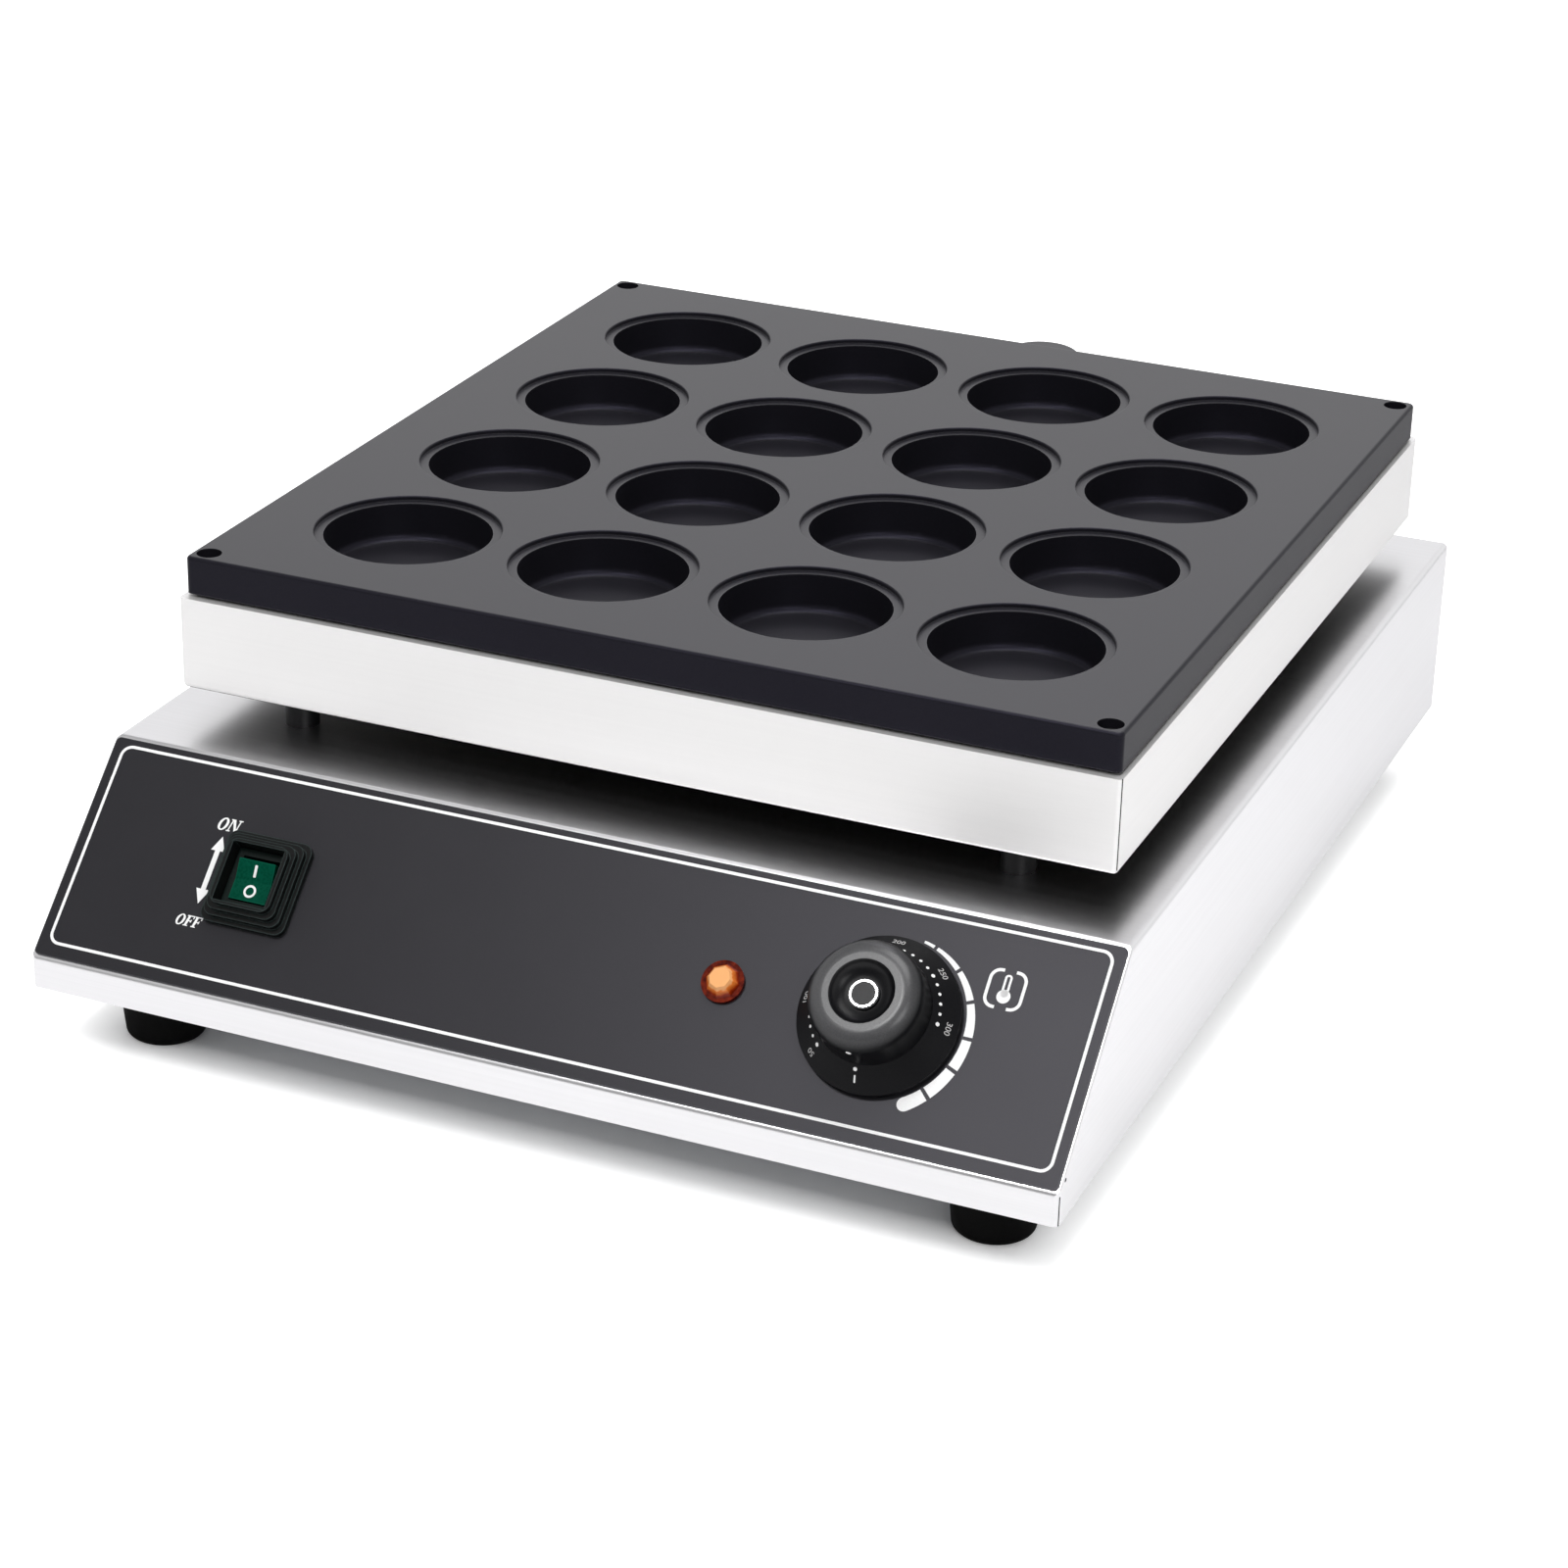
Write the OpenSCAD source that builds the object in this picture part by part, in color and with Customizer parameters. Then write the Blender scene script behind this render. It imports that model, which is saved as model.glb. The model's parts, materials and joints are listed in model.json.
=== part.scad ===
// Electric cake maker with sixteen round baking pockets. A coated casting lies on a heater tray,
// the tray stands on four pillars, and the pillars stand on a low steel casing whose sloped front
// carries a rocker switch, a pilot lamp and a thermostat dial.
// Millimetres, X to the right, Y to the back, Z up, origin on the worktop under the casing's centre.

/* [Casing] */
// Width of the steel casing
body_w = 405; // [395:1:440]
// Depth of the steel casing
body_d = 490; // [480:1:540]
// Height of the casing's walls
body_h = 76.5; // [72:0.5:95]
// Height of the upright lip at the front
lip_h = 12.5; // [8:0.5:16]
// Depth that the sloped front takes up
slope_run = 66; // [62:0.5:72]
// Thickness of the sheet steel
sheet_t = 1.2; // [0.8:0.1:1.6]
// Outside radius of the folded edges
bend_r = 2.4; // [2:0.1:2.6]
// Radius of the sloped front's side edges
slope_edge_r = 0.8; // [0.4:0.1:1.2]
// Width of the folded flanges under the walls
flange_w = 14; // [12:0.5:18]
// How far the rear panel lies inside the casing's rear edge
rear_recess = 14; // [14:0.5:20]
// Width of one cooling slot
slot_w = 4; // [3:0.5:6]
// Length of one cooling slot
slot_l = 34; // [20:1:40]
// Distance between cooling slots
slot_pitch = 12; // [10:0.5:16]
// Cooling slots in a row
slot_count = 8; // [4:2:10]

/* [Feet] */
// Height of a foot
foot_h = 27.5; // [22:0.5:34]
// Diameter of a foot at its top
foot_top_d = 34; // [30:1:40]
// Diameter of a foot at the worktop
foot_bottom_d = 30.6; // [25:0.2:32]
// Distance of a foot's centre from the casing's side
foot_in_x = 35; // [32:1:45]
// Distance of a foot's centre from the casing's front and rear edges
foot_in_y = 36; // [34:1:55]
// Depth of the screw recess under a foot
foot_recess = 12; // [8:0.5:16]

/* [Heater tray] */
// Height of the pillars that carry the tray
stand_h = 13.4; // [10:0.1:20]
// Diameter of a pillar
pillar_d = 13; // [11:0.5:16]
// Distance of a pillar's centre from the tray's side
pillar_in_x = 42; // [30:1:60]
// Distance of a pillar's centre from the tray's front and rear
pillar_in_y = 17.6; // [15:0.2:24]
// Distance of the tray from the casing's sides
tray_in_x = 15.1; // [10:0.1:20]
// Distance of the tray behind the fold over the sloped front
tray_behind = 23.05; // [18:0.05:28]
// Distance of the tray from the casing's rear edge
tray_in_rear = 12.05; // [8:0.05:20]
// Height of the tray
tray_h = 36.6; // [34:0.2:44]
// Radius of the tray's upright corners
tray_corner_r = 2; // [1.6:0.1:5]
// Radius of the tray's lower edge
tray_edge_r = 1.6; // [1:0.1:1.6]
// Width of the tray's top flange
tray_flange = 16; // [14:0.5:18]
// Thickness of the insulation mat on the tray's floor
mat_t = 12; // [8:0.5:12]
// Thickness of the reflector sheet on the mat
reflector_t = 0.5; // [0.4:0.1:1]

/* [Baking plate] */
// How far the casting lies inside the tray's sides
plate_in_x = 1.6; // [0.6:0.1:3]
// How far the casting lies inside the tray's front and rear
plate_in_y = 2.65; // [1:0.05:4]
// Thickness of the casting's edge
plate_t = 14.8; // [13:0.1:16]
// Radius of the casting's upright corners
plate_corner_r = 2.6; // [2.2:0.1:6]
// Radius of the casting's upper edge
plate_edge_r = 1.4; // [0.8:0.1:2]
// Distance of the outer pockets' centres from the casting's sides
pocket_in_x = 61.75; // [60:0.05:64]
// Distance of the outer pockets' centres from the casting's front and rear
pocket_in_y = 62.2; // [60:0.05:64]
// Diameter of a pocket
pocket_d = 65; // [60:0.5:67]
// Depth of a pocket
pocket_depth = 17; // [15:0.5:19]
// Diameter of the step round a pocket's mouth
mouth_d = 72; // [70:0.5:74]
// Depth of that step
mouth_depth = 1.8; // [1:0.1:3]
// Radius of the edges at a pocket's mouth
rim_r = 0.6; // [0.3:0.1:0.8]
// Radius between a pocket's wall and floor
floor_r = 3; // [1:0.5:5]
// Metal round and under a pocket
cup_wall = 5.2; // [4:0.1:5.2]
// Distance of the corner screws from the casting's edges
screw_in = 6.8; // [6.4:0.1:7.6]
// Diameter of the screw recesses in the casting
recess_d = 9.7; // [9.2:0.1:10]
// Depth of the screw recesses in the casting
recess_depth = 8.5; // [7:0.1:9]
// Thickness of the seal between casting and tray
gasket_t = 1.2; // [0.8:0.1:2]
// How far the seal lies inside the casting's edge
gasket_in = 3; // [2:0.2:3.4]
// Place of the small lug on the casting's rear edge
lug_x = 21; // [0:1:60]
// Radius of the lug
lug_r = 16; // [12:0.5:20]
// How far the lug stands behind the casting
lug_out = 9; // [6:0.5:9.5]
// Height of the lug
lug_h = 11; // [6:0.5:12]

/* [Heating] */
// Diameter of a heating element
element_d = 8; // [6.5:0.1:8.5]
// Room between the elements and what holds them
element_gap = 0.1; // [0.1:0.05:0.3]
// Width of a clamp bar
clamp_w = 16; // [12:0.5:22]
// Thickness of a clamp bar
clamp_t = 3; // [2:0.1:3.4]
// Diameter of the bosses that hold the clamp bars
boss_d = 12; // [10:0.5:16]
// Diameter of the thermostat's sensing bulb
bulb_d = 6; // [4:0.2:6.4]
// Length of the sensing bulb
bulb_l = 84; // [60:1:110]

/* [Control panel] */
// Thickness of the black panel
panel_t = 0.8; // [0.5:0.1:1.2]
// Steel left bare round the panel
panel_in = 0.3; // [0.2:0.1:2]
// Distance of the switch from the casing's left side
switch_in = 79.5; // [70:0.1:90]
// Height of the switch along the slope
switch_v = 45.65; // [44:0.05:52]
// Width of the switch's splash guard at its foot
guard_w = 35; // [32:0.5:40]
// Height of the guard's foot along the slope
guard_d = 36.5; // [34:0.5:42]
// Width of the guard's upper rim
guard_rim_w = 25; // [23:0.5:29]
// Height of the guard's upper rim along the slope
guard_rim_d = 26; // [25:0.5:30]
// How far the guard stands off the panel
guard_h = 10; // [8:0.5:14]
// Steps in the guard's sides
guard_steps = 4; // [3:1:6]
// Width of the rocker
rocker_w = 15; // [12:0.2:15.4]
// Length of the rocker
rocker_l = 15.4; // [14:0.2:16]
// Angle that the rocker leans to each side
rocker_tilt = 9; // [5:0.5:10]
// Depth of the switch body behind the panel
switch_depth = 22; // [18:0.5:26]
// Distance of the lamp from the casing's right side
lamp_in = 139; // [130:0.1:150]
// Height of the lamp along the slope
lamp_v = 47.4; // [40:0.1:55]
// Diameter of the lamp's lens
lens_d = 15.8; // [15:0.1:18]
// Height of the lens above the panel
lens_h = 5.5; // [4:0.1:7]
// Diameter of the lamp's barrel
lamp_d = 12; // [10:0.1:13]
// Distance of the dial from the casing's right side
dial_in = 79.5; // [72:0.1:84]
// Height of the dial along the slope
dial_v = 47.2; // [44:0.1:52]
// Radius of the dial's skirt
skirt_r = 29.4; // [27:0.1:32]
// Radius of the dial's grip at its foot
grip_r = 21; // [19:0.1:23]
// Angle that the grip's side leans in
grip_lean = 2; // [0:0.5:8]
// Height of the dial above the panel
dial_h = 27.4; // [24:0.1:30]
// Radius of the hollow in the dial's top
dish_r = 11.8; // [8:0.1:12]
// Depth of the hollow in the dial's top
dish_depth = 4; // [2:0.1:5]
// Radius of the plain cap in the hollow
cap_r = 5.6; // [4:0.1:7]
// Diameter of the thermostat's shaft
shaft_d = 6; // [5:0.1:7]
// Side of the thermostat's square case
thermo_w = 36; // [34:0.5:40]
// Depth of the thermostat's case
thermo_h = 22; // [18:0.5:26]

/* [Cord inlet] */
// Place of the cord gland across the rear panel
gland_x = 20; // [-60:1:60]
// Height of the gland above the casing's underside
gland_up = 32; // [26:1:40]
// Bore of the gland
gland_bore = 9; // [7:0.1:10]
// Diameter of the gland's thread
gland_d = 15.2; // [14:0.1:16]

/* [Fits] */
// Room between parts that only have to go together
fit = 0.2; // [0.1:0.05:0.3]
// Room between parts that move on each other
run_gap = 0.35; // [0.3:0.05:0.5]
// Room of a screw in its hole
screw_gap = 0.4; // [0.2:0.05:0.6]
// Thickness of the glue under the panel, and room under what sits on it
seat_gap = 0.03; // [0.02:0.01:0.1]
// Room between a wire's end and its terminal
lead_gap = 0.3; // [0.2:0.05:0.4]

/* [Hidden] */
$fn = 64;

steel = [0.86, 0.86, 0.87];
zinc = [0.72, 0.73, 0.75];
black = [0.07, 0.07, 0.08];
coat = [0.2, 0.2, 0.22];
dark = [0.13, 0.13, 0.14];
brass = [0.8, 0.66, 0.3];
copper = [0.72, 0.45, 0.28];
porcelain = [0.92, 0.91, 0.86];
case_grey = [0.6, 0.6, 0.58];

// Sizes of the screws
m3_d = 3;
m4_d = 4;
m5_d = 5;
m6_d = 6;
head_ratio = 1.7;
head_h = 2.6;
bolt_head_h = 4;
nut_ratio = 1.96;
nut_h = 4;
cap_head_d = 8.5;
cap_head_h = 5;
cap_socket_d = 4.6;
cap_socket_depth = 2.5;

// Levels and edges of the casing
front_y = -body_d / 2;
rear_y = body_d / 2;
base_z = foot_h;
lip_z = base_z + lip_h;
top_z = base_z + body_h;
floor_z = base_z + sheet_t;
slope_rise = body_h - lip_h;
slope_a = atan2(slope_rise, slope_run);
slope_len = norm([slope_run, slope_rise]);
fold_y = front_y + slope_run;
low_fold = bend_r * tan((90 - slope_a) / 2);
high_fold = bend_r * tan(slope_a / 2);
inside_w = body_w - 2 * sheet_t;
panel_y = rear_y - rear_recess;
screw_side_x = inside_w / 2 - flange_w / 2;
screw_front_y = front_y + sheet_t + flange_w / 2;
screw_rear_y = panel_y + rear_recess / 2;
side_screw_ys = [front_y + 75, 0, panel_y - 42];
end_screw_x = body_w / 4;
slot_end_r = slot_w * 0.49;
foot_round_r = 3;
foot_waist_z = foot_h * 0.7;
foot_hollow_r = m6_d * head_ratio / 2 + 2;

// Levels and edges of the heater tray and the casting
tray_z = top_z + stand_h;
tray_top = tray_z + tray_h;
plate_z = tray_top + gasket_t;
plate_top = plate_z + plate_t;
tray_w = body_w - 2 * tray_in_x;
tray_front = fold_y + tray_behind;
tray_rear = rear_y - tray_in_rear;
tray_d = tray_rear - tray_front;
hearth_y = (tray_front + tray_rear) / 2;
tray_floor = tray_z + sheet_t;
mat_top = tray_floor + mat_t;
pillar_x = tray_w / 2 - pillar_in_x;
pillar_front_y = tray_front + pillar_in_y;
pillar_rear_y = tray_rear - pillar_in_y;
plate_w = tray_w - 2 * plate_in_x;
plate_d = tray_d - 2 * plate_in_y;
plate_screw_x = plate_w / 2 - screw_in;
plate_screw_y = plate_d / 2 - screw_in;
hearth_open_w = tray_w - 2 * (sheet_t + tray_flange);
hearth_open_d = tray_d - 2 * (sheet_t + tray_flange);
lining_in = sheet_t + 2;
lining_room = 4;
lug_drop = 0.4;
lug_edge = 2.5;

// Pockets across and deep
pocket_n = 4;
pocket_mid = (pocket_n - 1) / 2;
pitch_x = (plate_w - 2 * pocket_in_x) / (pocket_n - 1);
pitch_y = (plate_d - 2 * pocket_in_y) / (pocket_n - 1);

// Levels under the pockets
cup_d = pocket_d + 2 * cup_wall;
cup_z = plate_top - pocket_depth - cup_wall;
element_z = cup_z - element_gap - element_d / 2;
clamp_top = element_z - element_d / 2 - element_gap;
clamp_z = clamp_top - clamp_t;
element_end_y = tray_rear - 33;
insulator_l = 6;
stud_l = 12;
stud_end_y = element_end_y + stud_l;
bulb_z = plate_z - element_gap - bulb_d / 2;
bulb_rear_y = hearth_y + bulb_l / 2;
clamp_bite = 6;
clip_bite = 5;
clip_w = 26;
clip_d = 10;
clip_t = 1.5;
clip_screw_x = 9;

// Controls in the sloped panel's own axes
switch_x = body_w / 2 - switch_in;
lamp_x = body_w / 2 - lamp_in;
dial_x = body_w / 2 - dial_in;
panel_w = body_w - 2 * slope_edge_r - 2 * panel_in;
panel_len = slope_len - low_fold - high_fold - 2 * panel_in;
panel_mid = (slope_len + low_fold - high_fold) / 2;
panel_face = panel_t + seat_gap;
seat_h = panel_face + seat_gap;
pivot_h = seat_h + 0.2;
pivot_d = 3;
pivot_out = 1.2;
rocker_top = 5;
bezel_h = 3.6;
bezel_wall = 2.7;
body_wall = 1.9;
cavity_w = rocker_w + 2 * run_gap;
cavity_l = rocker_l + 2 * run_gap + 2 * rocker_top * sin(rocker_tilt);
rocker_dip = rocker_l / 2 * tan(rocker_tilt);
dial_gap = 1;
shaft_in = 12;
shaft_up = 15;
shaft_room = 4;
cap_h = 1.2;
cap_room = 0.5;
dish_flat_r = cap_r + cap_room;
dish_round = (pow(dish_r - dish_flat_r, 2) + pow(dish_depth, 2)) / (2 * dish_depth);
skirt_edge = 2;
skirt_rise = 9.4;
skirt_wall = 2.4;
grip_round = 6.5;
panel_corner_r = 2;
guard_corner_r = 4;
lens_foot_h = lens_h * 0.3;
lens_low_d = lens_d * 0.84;
lens_top_d = lens_d * 0.5;
lamp_depth = 18;
lamp_nut_d = lamp_d * 1.5;
thermo_screw_x = 13;
thermo_bite = 8;
thermo_head_h = 1.8;
thermo_corner_r = 3;
thermo_back = -sheet_t - seat_gap - thermo_h;
thermo_tab_x = 9;
thermo_tab_v = 8;
switch_tab_v = 5;
tab_w = 6.3;
tab_t = 0.8;
tab_l = 8;

// Cord inlet and wiring places
gland_z = base_z + gland_up;
gland_flange_d = 22;
gland_flange_t = 4;
gland_tail = 12;
gland_cap_l = 9;
conduit_y = tray_rear - 38;
conduit_d = 24;
conduit_bore = 16;
conduit_spigot = 20;
spigot_l = 4;
mat_hole_d = 36;
block_x = -body_w / 4.5;
block_w = 60;
block_d = 20;
block_h = 16;
block_y = panel_y - sheet_t - 30;
block_pole = 11;
pole_d = 5;
pole_depth = 5;
block_screw_in = 4;
block_front = block_y - block_d / 2;
earth_x = block_x + block_w / 2 + 25;
earth_up = 12;
lead_d = 2.4;
capillary_d = 2;
lead_sides = 8;
lead_steps = 3;
lead_z = floor_z + block_h / 2;
lead_at_conduit = 3.8;
lead_apart = 8;
lead_turn_y = fold_y + 54;
lead_turn_z = floor_z + 14;
lead_rest_z = floor_z + 7;
lead_straight = 30;
tube_turn_y = fold_y + 34;
tube_turn_z = base_z + 16;
lamp_lead_v = 3;
lamp_lead_out = 5;
lamp_lead_side = 6;

// A point of the sloped panel: across, up the slope and off its face
function panel_pt(x, v, h) = [
    x,
    front_y + v * cos(slope_a) - h * sin(slope_a),
    lip_z + v * sin(slope_a) + h * cos(slope_a)
];

// A smooth route through hand-placed points
function spline_at(a, b, c, d, t) =
    b + (c - a) * t / 2 + (a * 2 - b * 5 + c * 4 - d) * t * t / 2 + (b * 3 - c * 3 + d - a) * t * t * t / 2;
function route(p, n) = [
    for (i = [0 : len(p) - 2], k = [0 : n - 1])
        spline_at(p[max(i - 1, 0)], p[i], p[i + 1], p[min(i + 2, len(p) - 1)], k / n),
    p[len(p) - 1]
];
function unit(v) = v / norm(v);

module on_panel(x, v, h = 0) {
    translate(panel_pt(x, v, h)) rotate([slope_a, 0, 0]) children();
}

// Centred rectangle with round corners
module round_rect(w, d, r) {
    square([w - 2 * r, d], center = true);
    square([w, d - 2 * r], center = true);
    for (x = [-1, 1], y = [-1, 1]) translate([x * (w / 2 - r), y * (d / 2 - r)]) circle(r);
}

// Section with its upper edge at zero and both upper corners round
module round_top(w, drop, r) {
    translate([-w / 2, -drop]) square([w, drop - r]);
    translate([r - w / 2, -drop]) square([w - 2 * r, drop]);
    for (s = [-1, 1]) translate([s * (w / 2 - r), -r]) circle(r);
}

// Slab from zero upwards with round upright corners and a round upper edge
module round_slab(w, d, h, r, e) {
    translate([0, 0, h]) rotate([90, 0, 0]) linear_extrude(d - 2 * r, center = true) round_top(w, h, e);
    translate([0, 0, h]) rotate([90, 0, 90]) linear_extrude(w - 2 * r, center = true) round_top(d, h, e);
    for (x = [-1, 1], y = [-1, 1]) translate([x * (w / 2 - r), y * (d / 2 - r), 0]) rotate_extrude() {
        square([r - e, h]);
        square([r, h - e]);
        intersection() {
            translate([r - e, h - e]) circle(e);
            translate([r - e, h - e]) square(e);
        }
    }
}

// Upright bore or pin through a level
module bore(d, z0, z1) {
    translate([0, 0, z0]) cylinder(d = d, h = z1 - z0);
}

// Screw along Z: head below zero, shank upwards
module screw_up(d, l) {
    translate([0, 0, -head_h]) cylinder(d = d * head_ratio, h = head_h);
    cylinder(d = d, h = l);
}

module hex_nut(d, h, gap) {
    difference() {
        cylinder(d = d * nut_ratio, h = h, $fn = 6);
        translate([0, 0, -1]) cylinder(d = d + gap, h = h + 2);
    }
}

// Round tube along a route, with flat ends square to it
module lead(points, d, aside) {
    p = route(points, lead_steps);
    last = len(p) - 1;
    n = lead_sides;
    far = len(points) - 1;
    way = [
        unit(points[1] - points[0]),
        for (i = [1 : last - 1]) unit(p[i + 1] - p[i - 1]),
        unit(points[far] - points[far - 1])
    ];
    across = [for (w = way) unit(cross(w, aside))];
    rings = [
        for (i = [0 : last], j = [0 : n - 1])
            p[i] + d / 2 * (across[i] * cos(360 * j / n) + cross(way[i], across[i]) * sin(360 * j / n))
    ];
    walls = [
        for (i = [0 : last - 1], j = [0 : n - 1])
            let (a = i * n + j, b = i * n + (j + 1) % n) each [[a, a + n, b], [b, a + n, b + n]]
    ];
    ends = [
        for (j = [1 : n - 2]) each [[0, j, j + 1], [last * n, last * n + j + 1, last * n + j]]
    ];
    polyhedron(points = rings, faces = concat(walls, ends));
}

// Places that repeat
module at_feet() {
    for (x = [-1, 1], y = [-1, 1])
        translate([x * (body_w / 2 - foot_in_x), y * (body_d / 2 - foot_in_y), 0]) children();
}

module at_pillars() {
    for (x = [-1, 1], y = [pillar_front_y, pillar_rear_y]) translate([x * pillar_x, y, 0]) children();
}

module at_plate_screws() {
    for (x = [-1, 1], y = [-1, 1])
        translate([x * plate_screw_x, hearth_y + y * plate_screw_y, 0]) children();
}

module at_pockets() {
    for (i = [0 : pocket_n - 1], j = [0 : pocket_n - 1])
        translate([(i - pocket_mid) * pitch_x, hearth_y + (j - pocket_mid) * pitch_y, 0]) children();
}

module at_clamp_screws() {
    for (x = [-1, 1], y = [-1, 1]) translate([x * pitch_x, hearth_y + y * pitch_y, 0]) children();
}

module at_flange_screws() {
    for (x = [-1, 1], y = side_screw_ys) translate([x * screw_side_x, y, 0]) children();
    for (x = [-1, 1]) translate([x * end_screw_x, screw_front_y, 0]) children();
}

module at_rear_screws() {
    for (x = [-1, 1]) translate([x * end_screw_x, screw_rear_y, 0]) children();
}

module at_conduit() {
    translate([0, conduit_y, 0]) children();
}

module slots_along_x() {
    for (i = [0 : slot_count - 1]) translate([(i - (slot_count - 1) / 2) * slot_pitch, 0, 0]) children();
}

// Outline of the casing seen from the side, with its two folds rounded
module casing_outline() {
    up = [cos(slope_a), sin(slope_a)];
    polygon([
        [front_y, base_z],
        [front_y, lip_z - low_fold],
        [front_y, lip_z] + low_fold * up,
        [fold_y, top_z] - high_fold * up,
        [fold_y + high_fold, top_z],
        [rear_y, top_z],
        [rear_y, base_z]
    ]);
    translate([front_y + bend_r, lip_z - low_fold]) circle(bend_r);
    translate([fold_y + high_fold, top_z - bend_r]) circle(bend_r);
}

// Space inside the sheet, open to the rear and below
module casing_space() {
    low_z = lip_z - sheet_t * (1 - sin(slope_a)) / cos(slope_a);
    high_y = front_y + (cos(slope_a) * (slope_rise - sheet_t) + sheet_t) / sin(slope_a);
    polygon([
        [front_y + sheet_t, base_z - 1],
        [front_y + sheet_t, low_z],
        [high_y, top_z - sheet_t],
        [rear_y + 1, top_z - sheet_t],
        [rear_y + 1, base_z - 1]
    ]);
}

module casing_block() {
    far = 2 * (body_d + body_h);
    intersection() {
        rotate([90, 0, 90]) linear_extrude(body_w, center = true) casing_outline();
        translate([0, 0, top_z]) rotate([90, 0, 0]) linear_extrude(far, center = true)
            round_top(body_w, far, bend_r);
        on_panel(0, 0) rotate([90, 0, 0]) linear_extrude(far, center = true)
            round_top(body_w, far, slope_edge_r);
        translate([0, front_y, base_z]) linear_extrude(body_h) mirror([0, 1]) round_top(body_w, far, bend_r);
    }
}

// Cuts through the sloped front for the controls, from one level off its face to another
module control_cuts(h0, h1) {
    on_panel(-switch_x, switch_v, h0) linear_extrude(h1 - h0)
        square([cavity_w + 2 * body_wall + fit, cavity_l + 2 * body_wall + fit], center = true);
    on_panel(lamp_x, lamp_v, h0) cylinder(d = lamp_d + screw_gap, h = h1 - h0);
    on_panel(dial_x, dial_v, h0) cylinder(d = shaft_d + shaft_room, h = h1 - h0);
    for (s = [-1, 1])
        on_panel(dial_x + s * thermo_screw_x, dial_v, h0) cylinder(d = m4_d + screw_gap, h = h1 - h0);
}

module chassis_shell() color(steel) difference() {
    union() {
        difference() {
            casing_block();
            rotate([90, 0, 90]) linear_extrude(inside_w, center = true) casing_space();
        }
        flange_l = panel_y - sheet_t - fit - front_y - sheet_t;
        for (s = [-1, 1])
            translate([s * screw_side_x, front_y + sheet_t + flange_l / 2, floor_z + sheet_t / 2])
                cube([flange_w, flange_l, sheet_t], center = true);
        translate([0, front_y + sheet_t + flange_w / 2, floor_z + sheet_t / 2])
            cube([inside_w, flange_w, sheet_t], center = true);
    }
    control_cuts(-2 * sheet_t, sheet_t);
    at_pillars() bore(m6_d + screw_gap, top_z - 2 * sheet_t, top_z + 1);
    at_conduit() bore(conduit_spigot + fit, top_z - 2 * sheet_t, top_z + 1);
    at_flange_screws() bore(m4_d + screw_gap, base_z, floor_z + 2 * sheet_t);
}

module rear_panel() color(steel) difference() {
    low = floor_z;
    high = top_z - sheet_t;
    translate([0, (panel_y - sheet_t + rear_y) / 2, (low + high) / 2]) difference() {
        cube([inside_w, rear_recess + sheet_t, high - low], center = true);
        translate([0, sheet_t, 0])
            cube([inside_w - 2 * sheet_t, rear_recess + sheet_t, high - low - 2 * sheet_t], center = true);
    }
    translate([gland_x, panel_y + 1, gland_z]) rotate([90, 0, 0])
        cylinder(d = gland_d + fit, h = sheet_t + 2);
    for (s = [-1, 1]) translate([s * body_w / 4, panel_y - sheet_t / 2, (low + high) / 2]) slots_along_x()
        rotate([90, 0, 0]) linear_extrude(3 * sheet_t, center = true) round_rect(slot_w, slot_l, slot_end_r);
    at_rear_screws() bore(m4_d + screw_gap, base_z, floor_z + 2 * sheet_t);
}

module base_plate() color(zinc) difference() {
    translate([0, 0, base_z + sheet_t / 2])
        cube([inside_w - 2 * fit, body_d - 2 * sheet_t - 2 * fit, sheet_t], center = true);
    for (s = [-1, 1]) translate([0, s * body_d / 8, base_z - 1]) slots_along_x()
        linear_extrude(sheet_t + 2) round_rect(slot_w, slot_l, slot_end_r);
    at_flange_screws() bore(m4_d + screw_gap, base_z - 1, floor_z + 1);
    at_rear_screws() bore(m4_d + screw_gap, base_z - 1, floor_z + 1);
    at_feet() bore(m6_d + screw_gap, base_z - 1, floor_z + 1);
    at_block_screws() bore(m3_d + screw_gap, base_z - 1, floor_z + 1);
    translate([earth_x, block_y, 0]) bore(m5_d + screw_gap, base_z - 1, floor_z + 1);
}

module base_screws() color(zinc) {
    grip = 2 * sheet_t + nut_h;
    at_flange_screws() translate([0, 0, base_z]) screw_up(m4_d, grip);
    at_rear_screws() translate([0, 0, base_z]) screw_up(m4_d, grip);
}

module base_nuts() color(zinc) {
    at_flange_screws() translate([0, 0, floor_z + sheet_t]) hex_nut(m4_d, nut_h, fit);
    at_rear_screws() translate([0, 0, floor_z + sheet_t]) hex_nut(m4_d, nut_h, fit);
}

// Foot turned about its own axis, hollow below for its screw
module foot() color(black) rotate_extrude() difference() {
    union() {
        polygon([
            [0, 0],
            [foot_bottom_d / 2 - foot_round_r, 0],
            [foot_bottom_d / 2, foot_round_r],
            [foot_top_d / 2, foot_waist_z],
            [foot_top_d / 2, foot_h],
            [0, foot_h]
        ]);
        translate([foot_bottom_d / 2 - foot_round_r, foot_round_r]) circle(foot_round_r);
    }
    translate([-1, -1]) square([(m6_d + screw_gap) / 2 + 1, foot_h + 2]);
    translate([-1, -1]) square([foot_hollow_r + 1, foot_recess + 1]);
}

module foot_at(x, y) {
    translate([x * (body_w / 2 - foot_in_x), y * (body_d / 2 - foot_in_y), 0]) foot();
}
module foot_front_left() foot_at(-1, -1);
module foot_front_right() foot_at(1, -1);
module foot_rear_left() foot_at(-1, 1);
module foot_rear_right() foot_at(1, 1);

module foot_screws() color(zinc) {
    at_feet() translate([0, 0, foot_recess]) screw_up(m6_d, foot_h - foot_recess + sheet_t + nut_h + 1);
}

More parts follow.
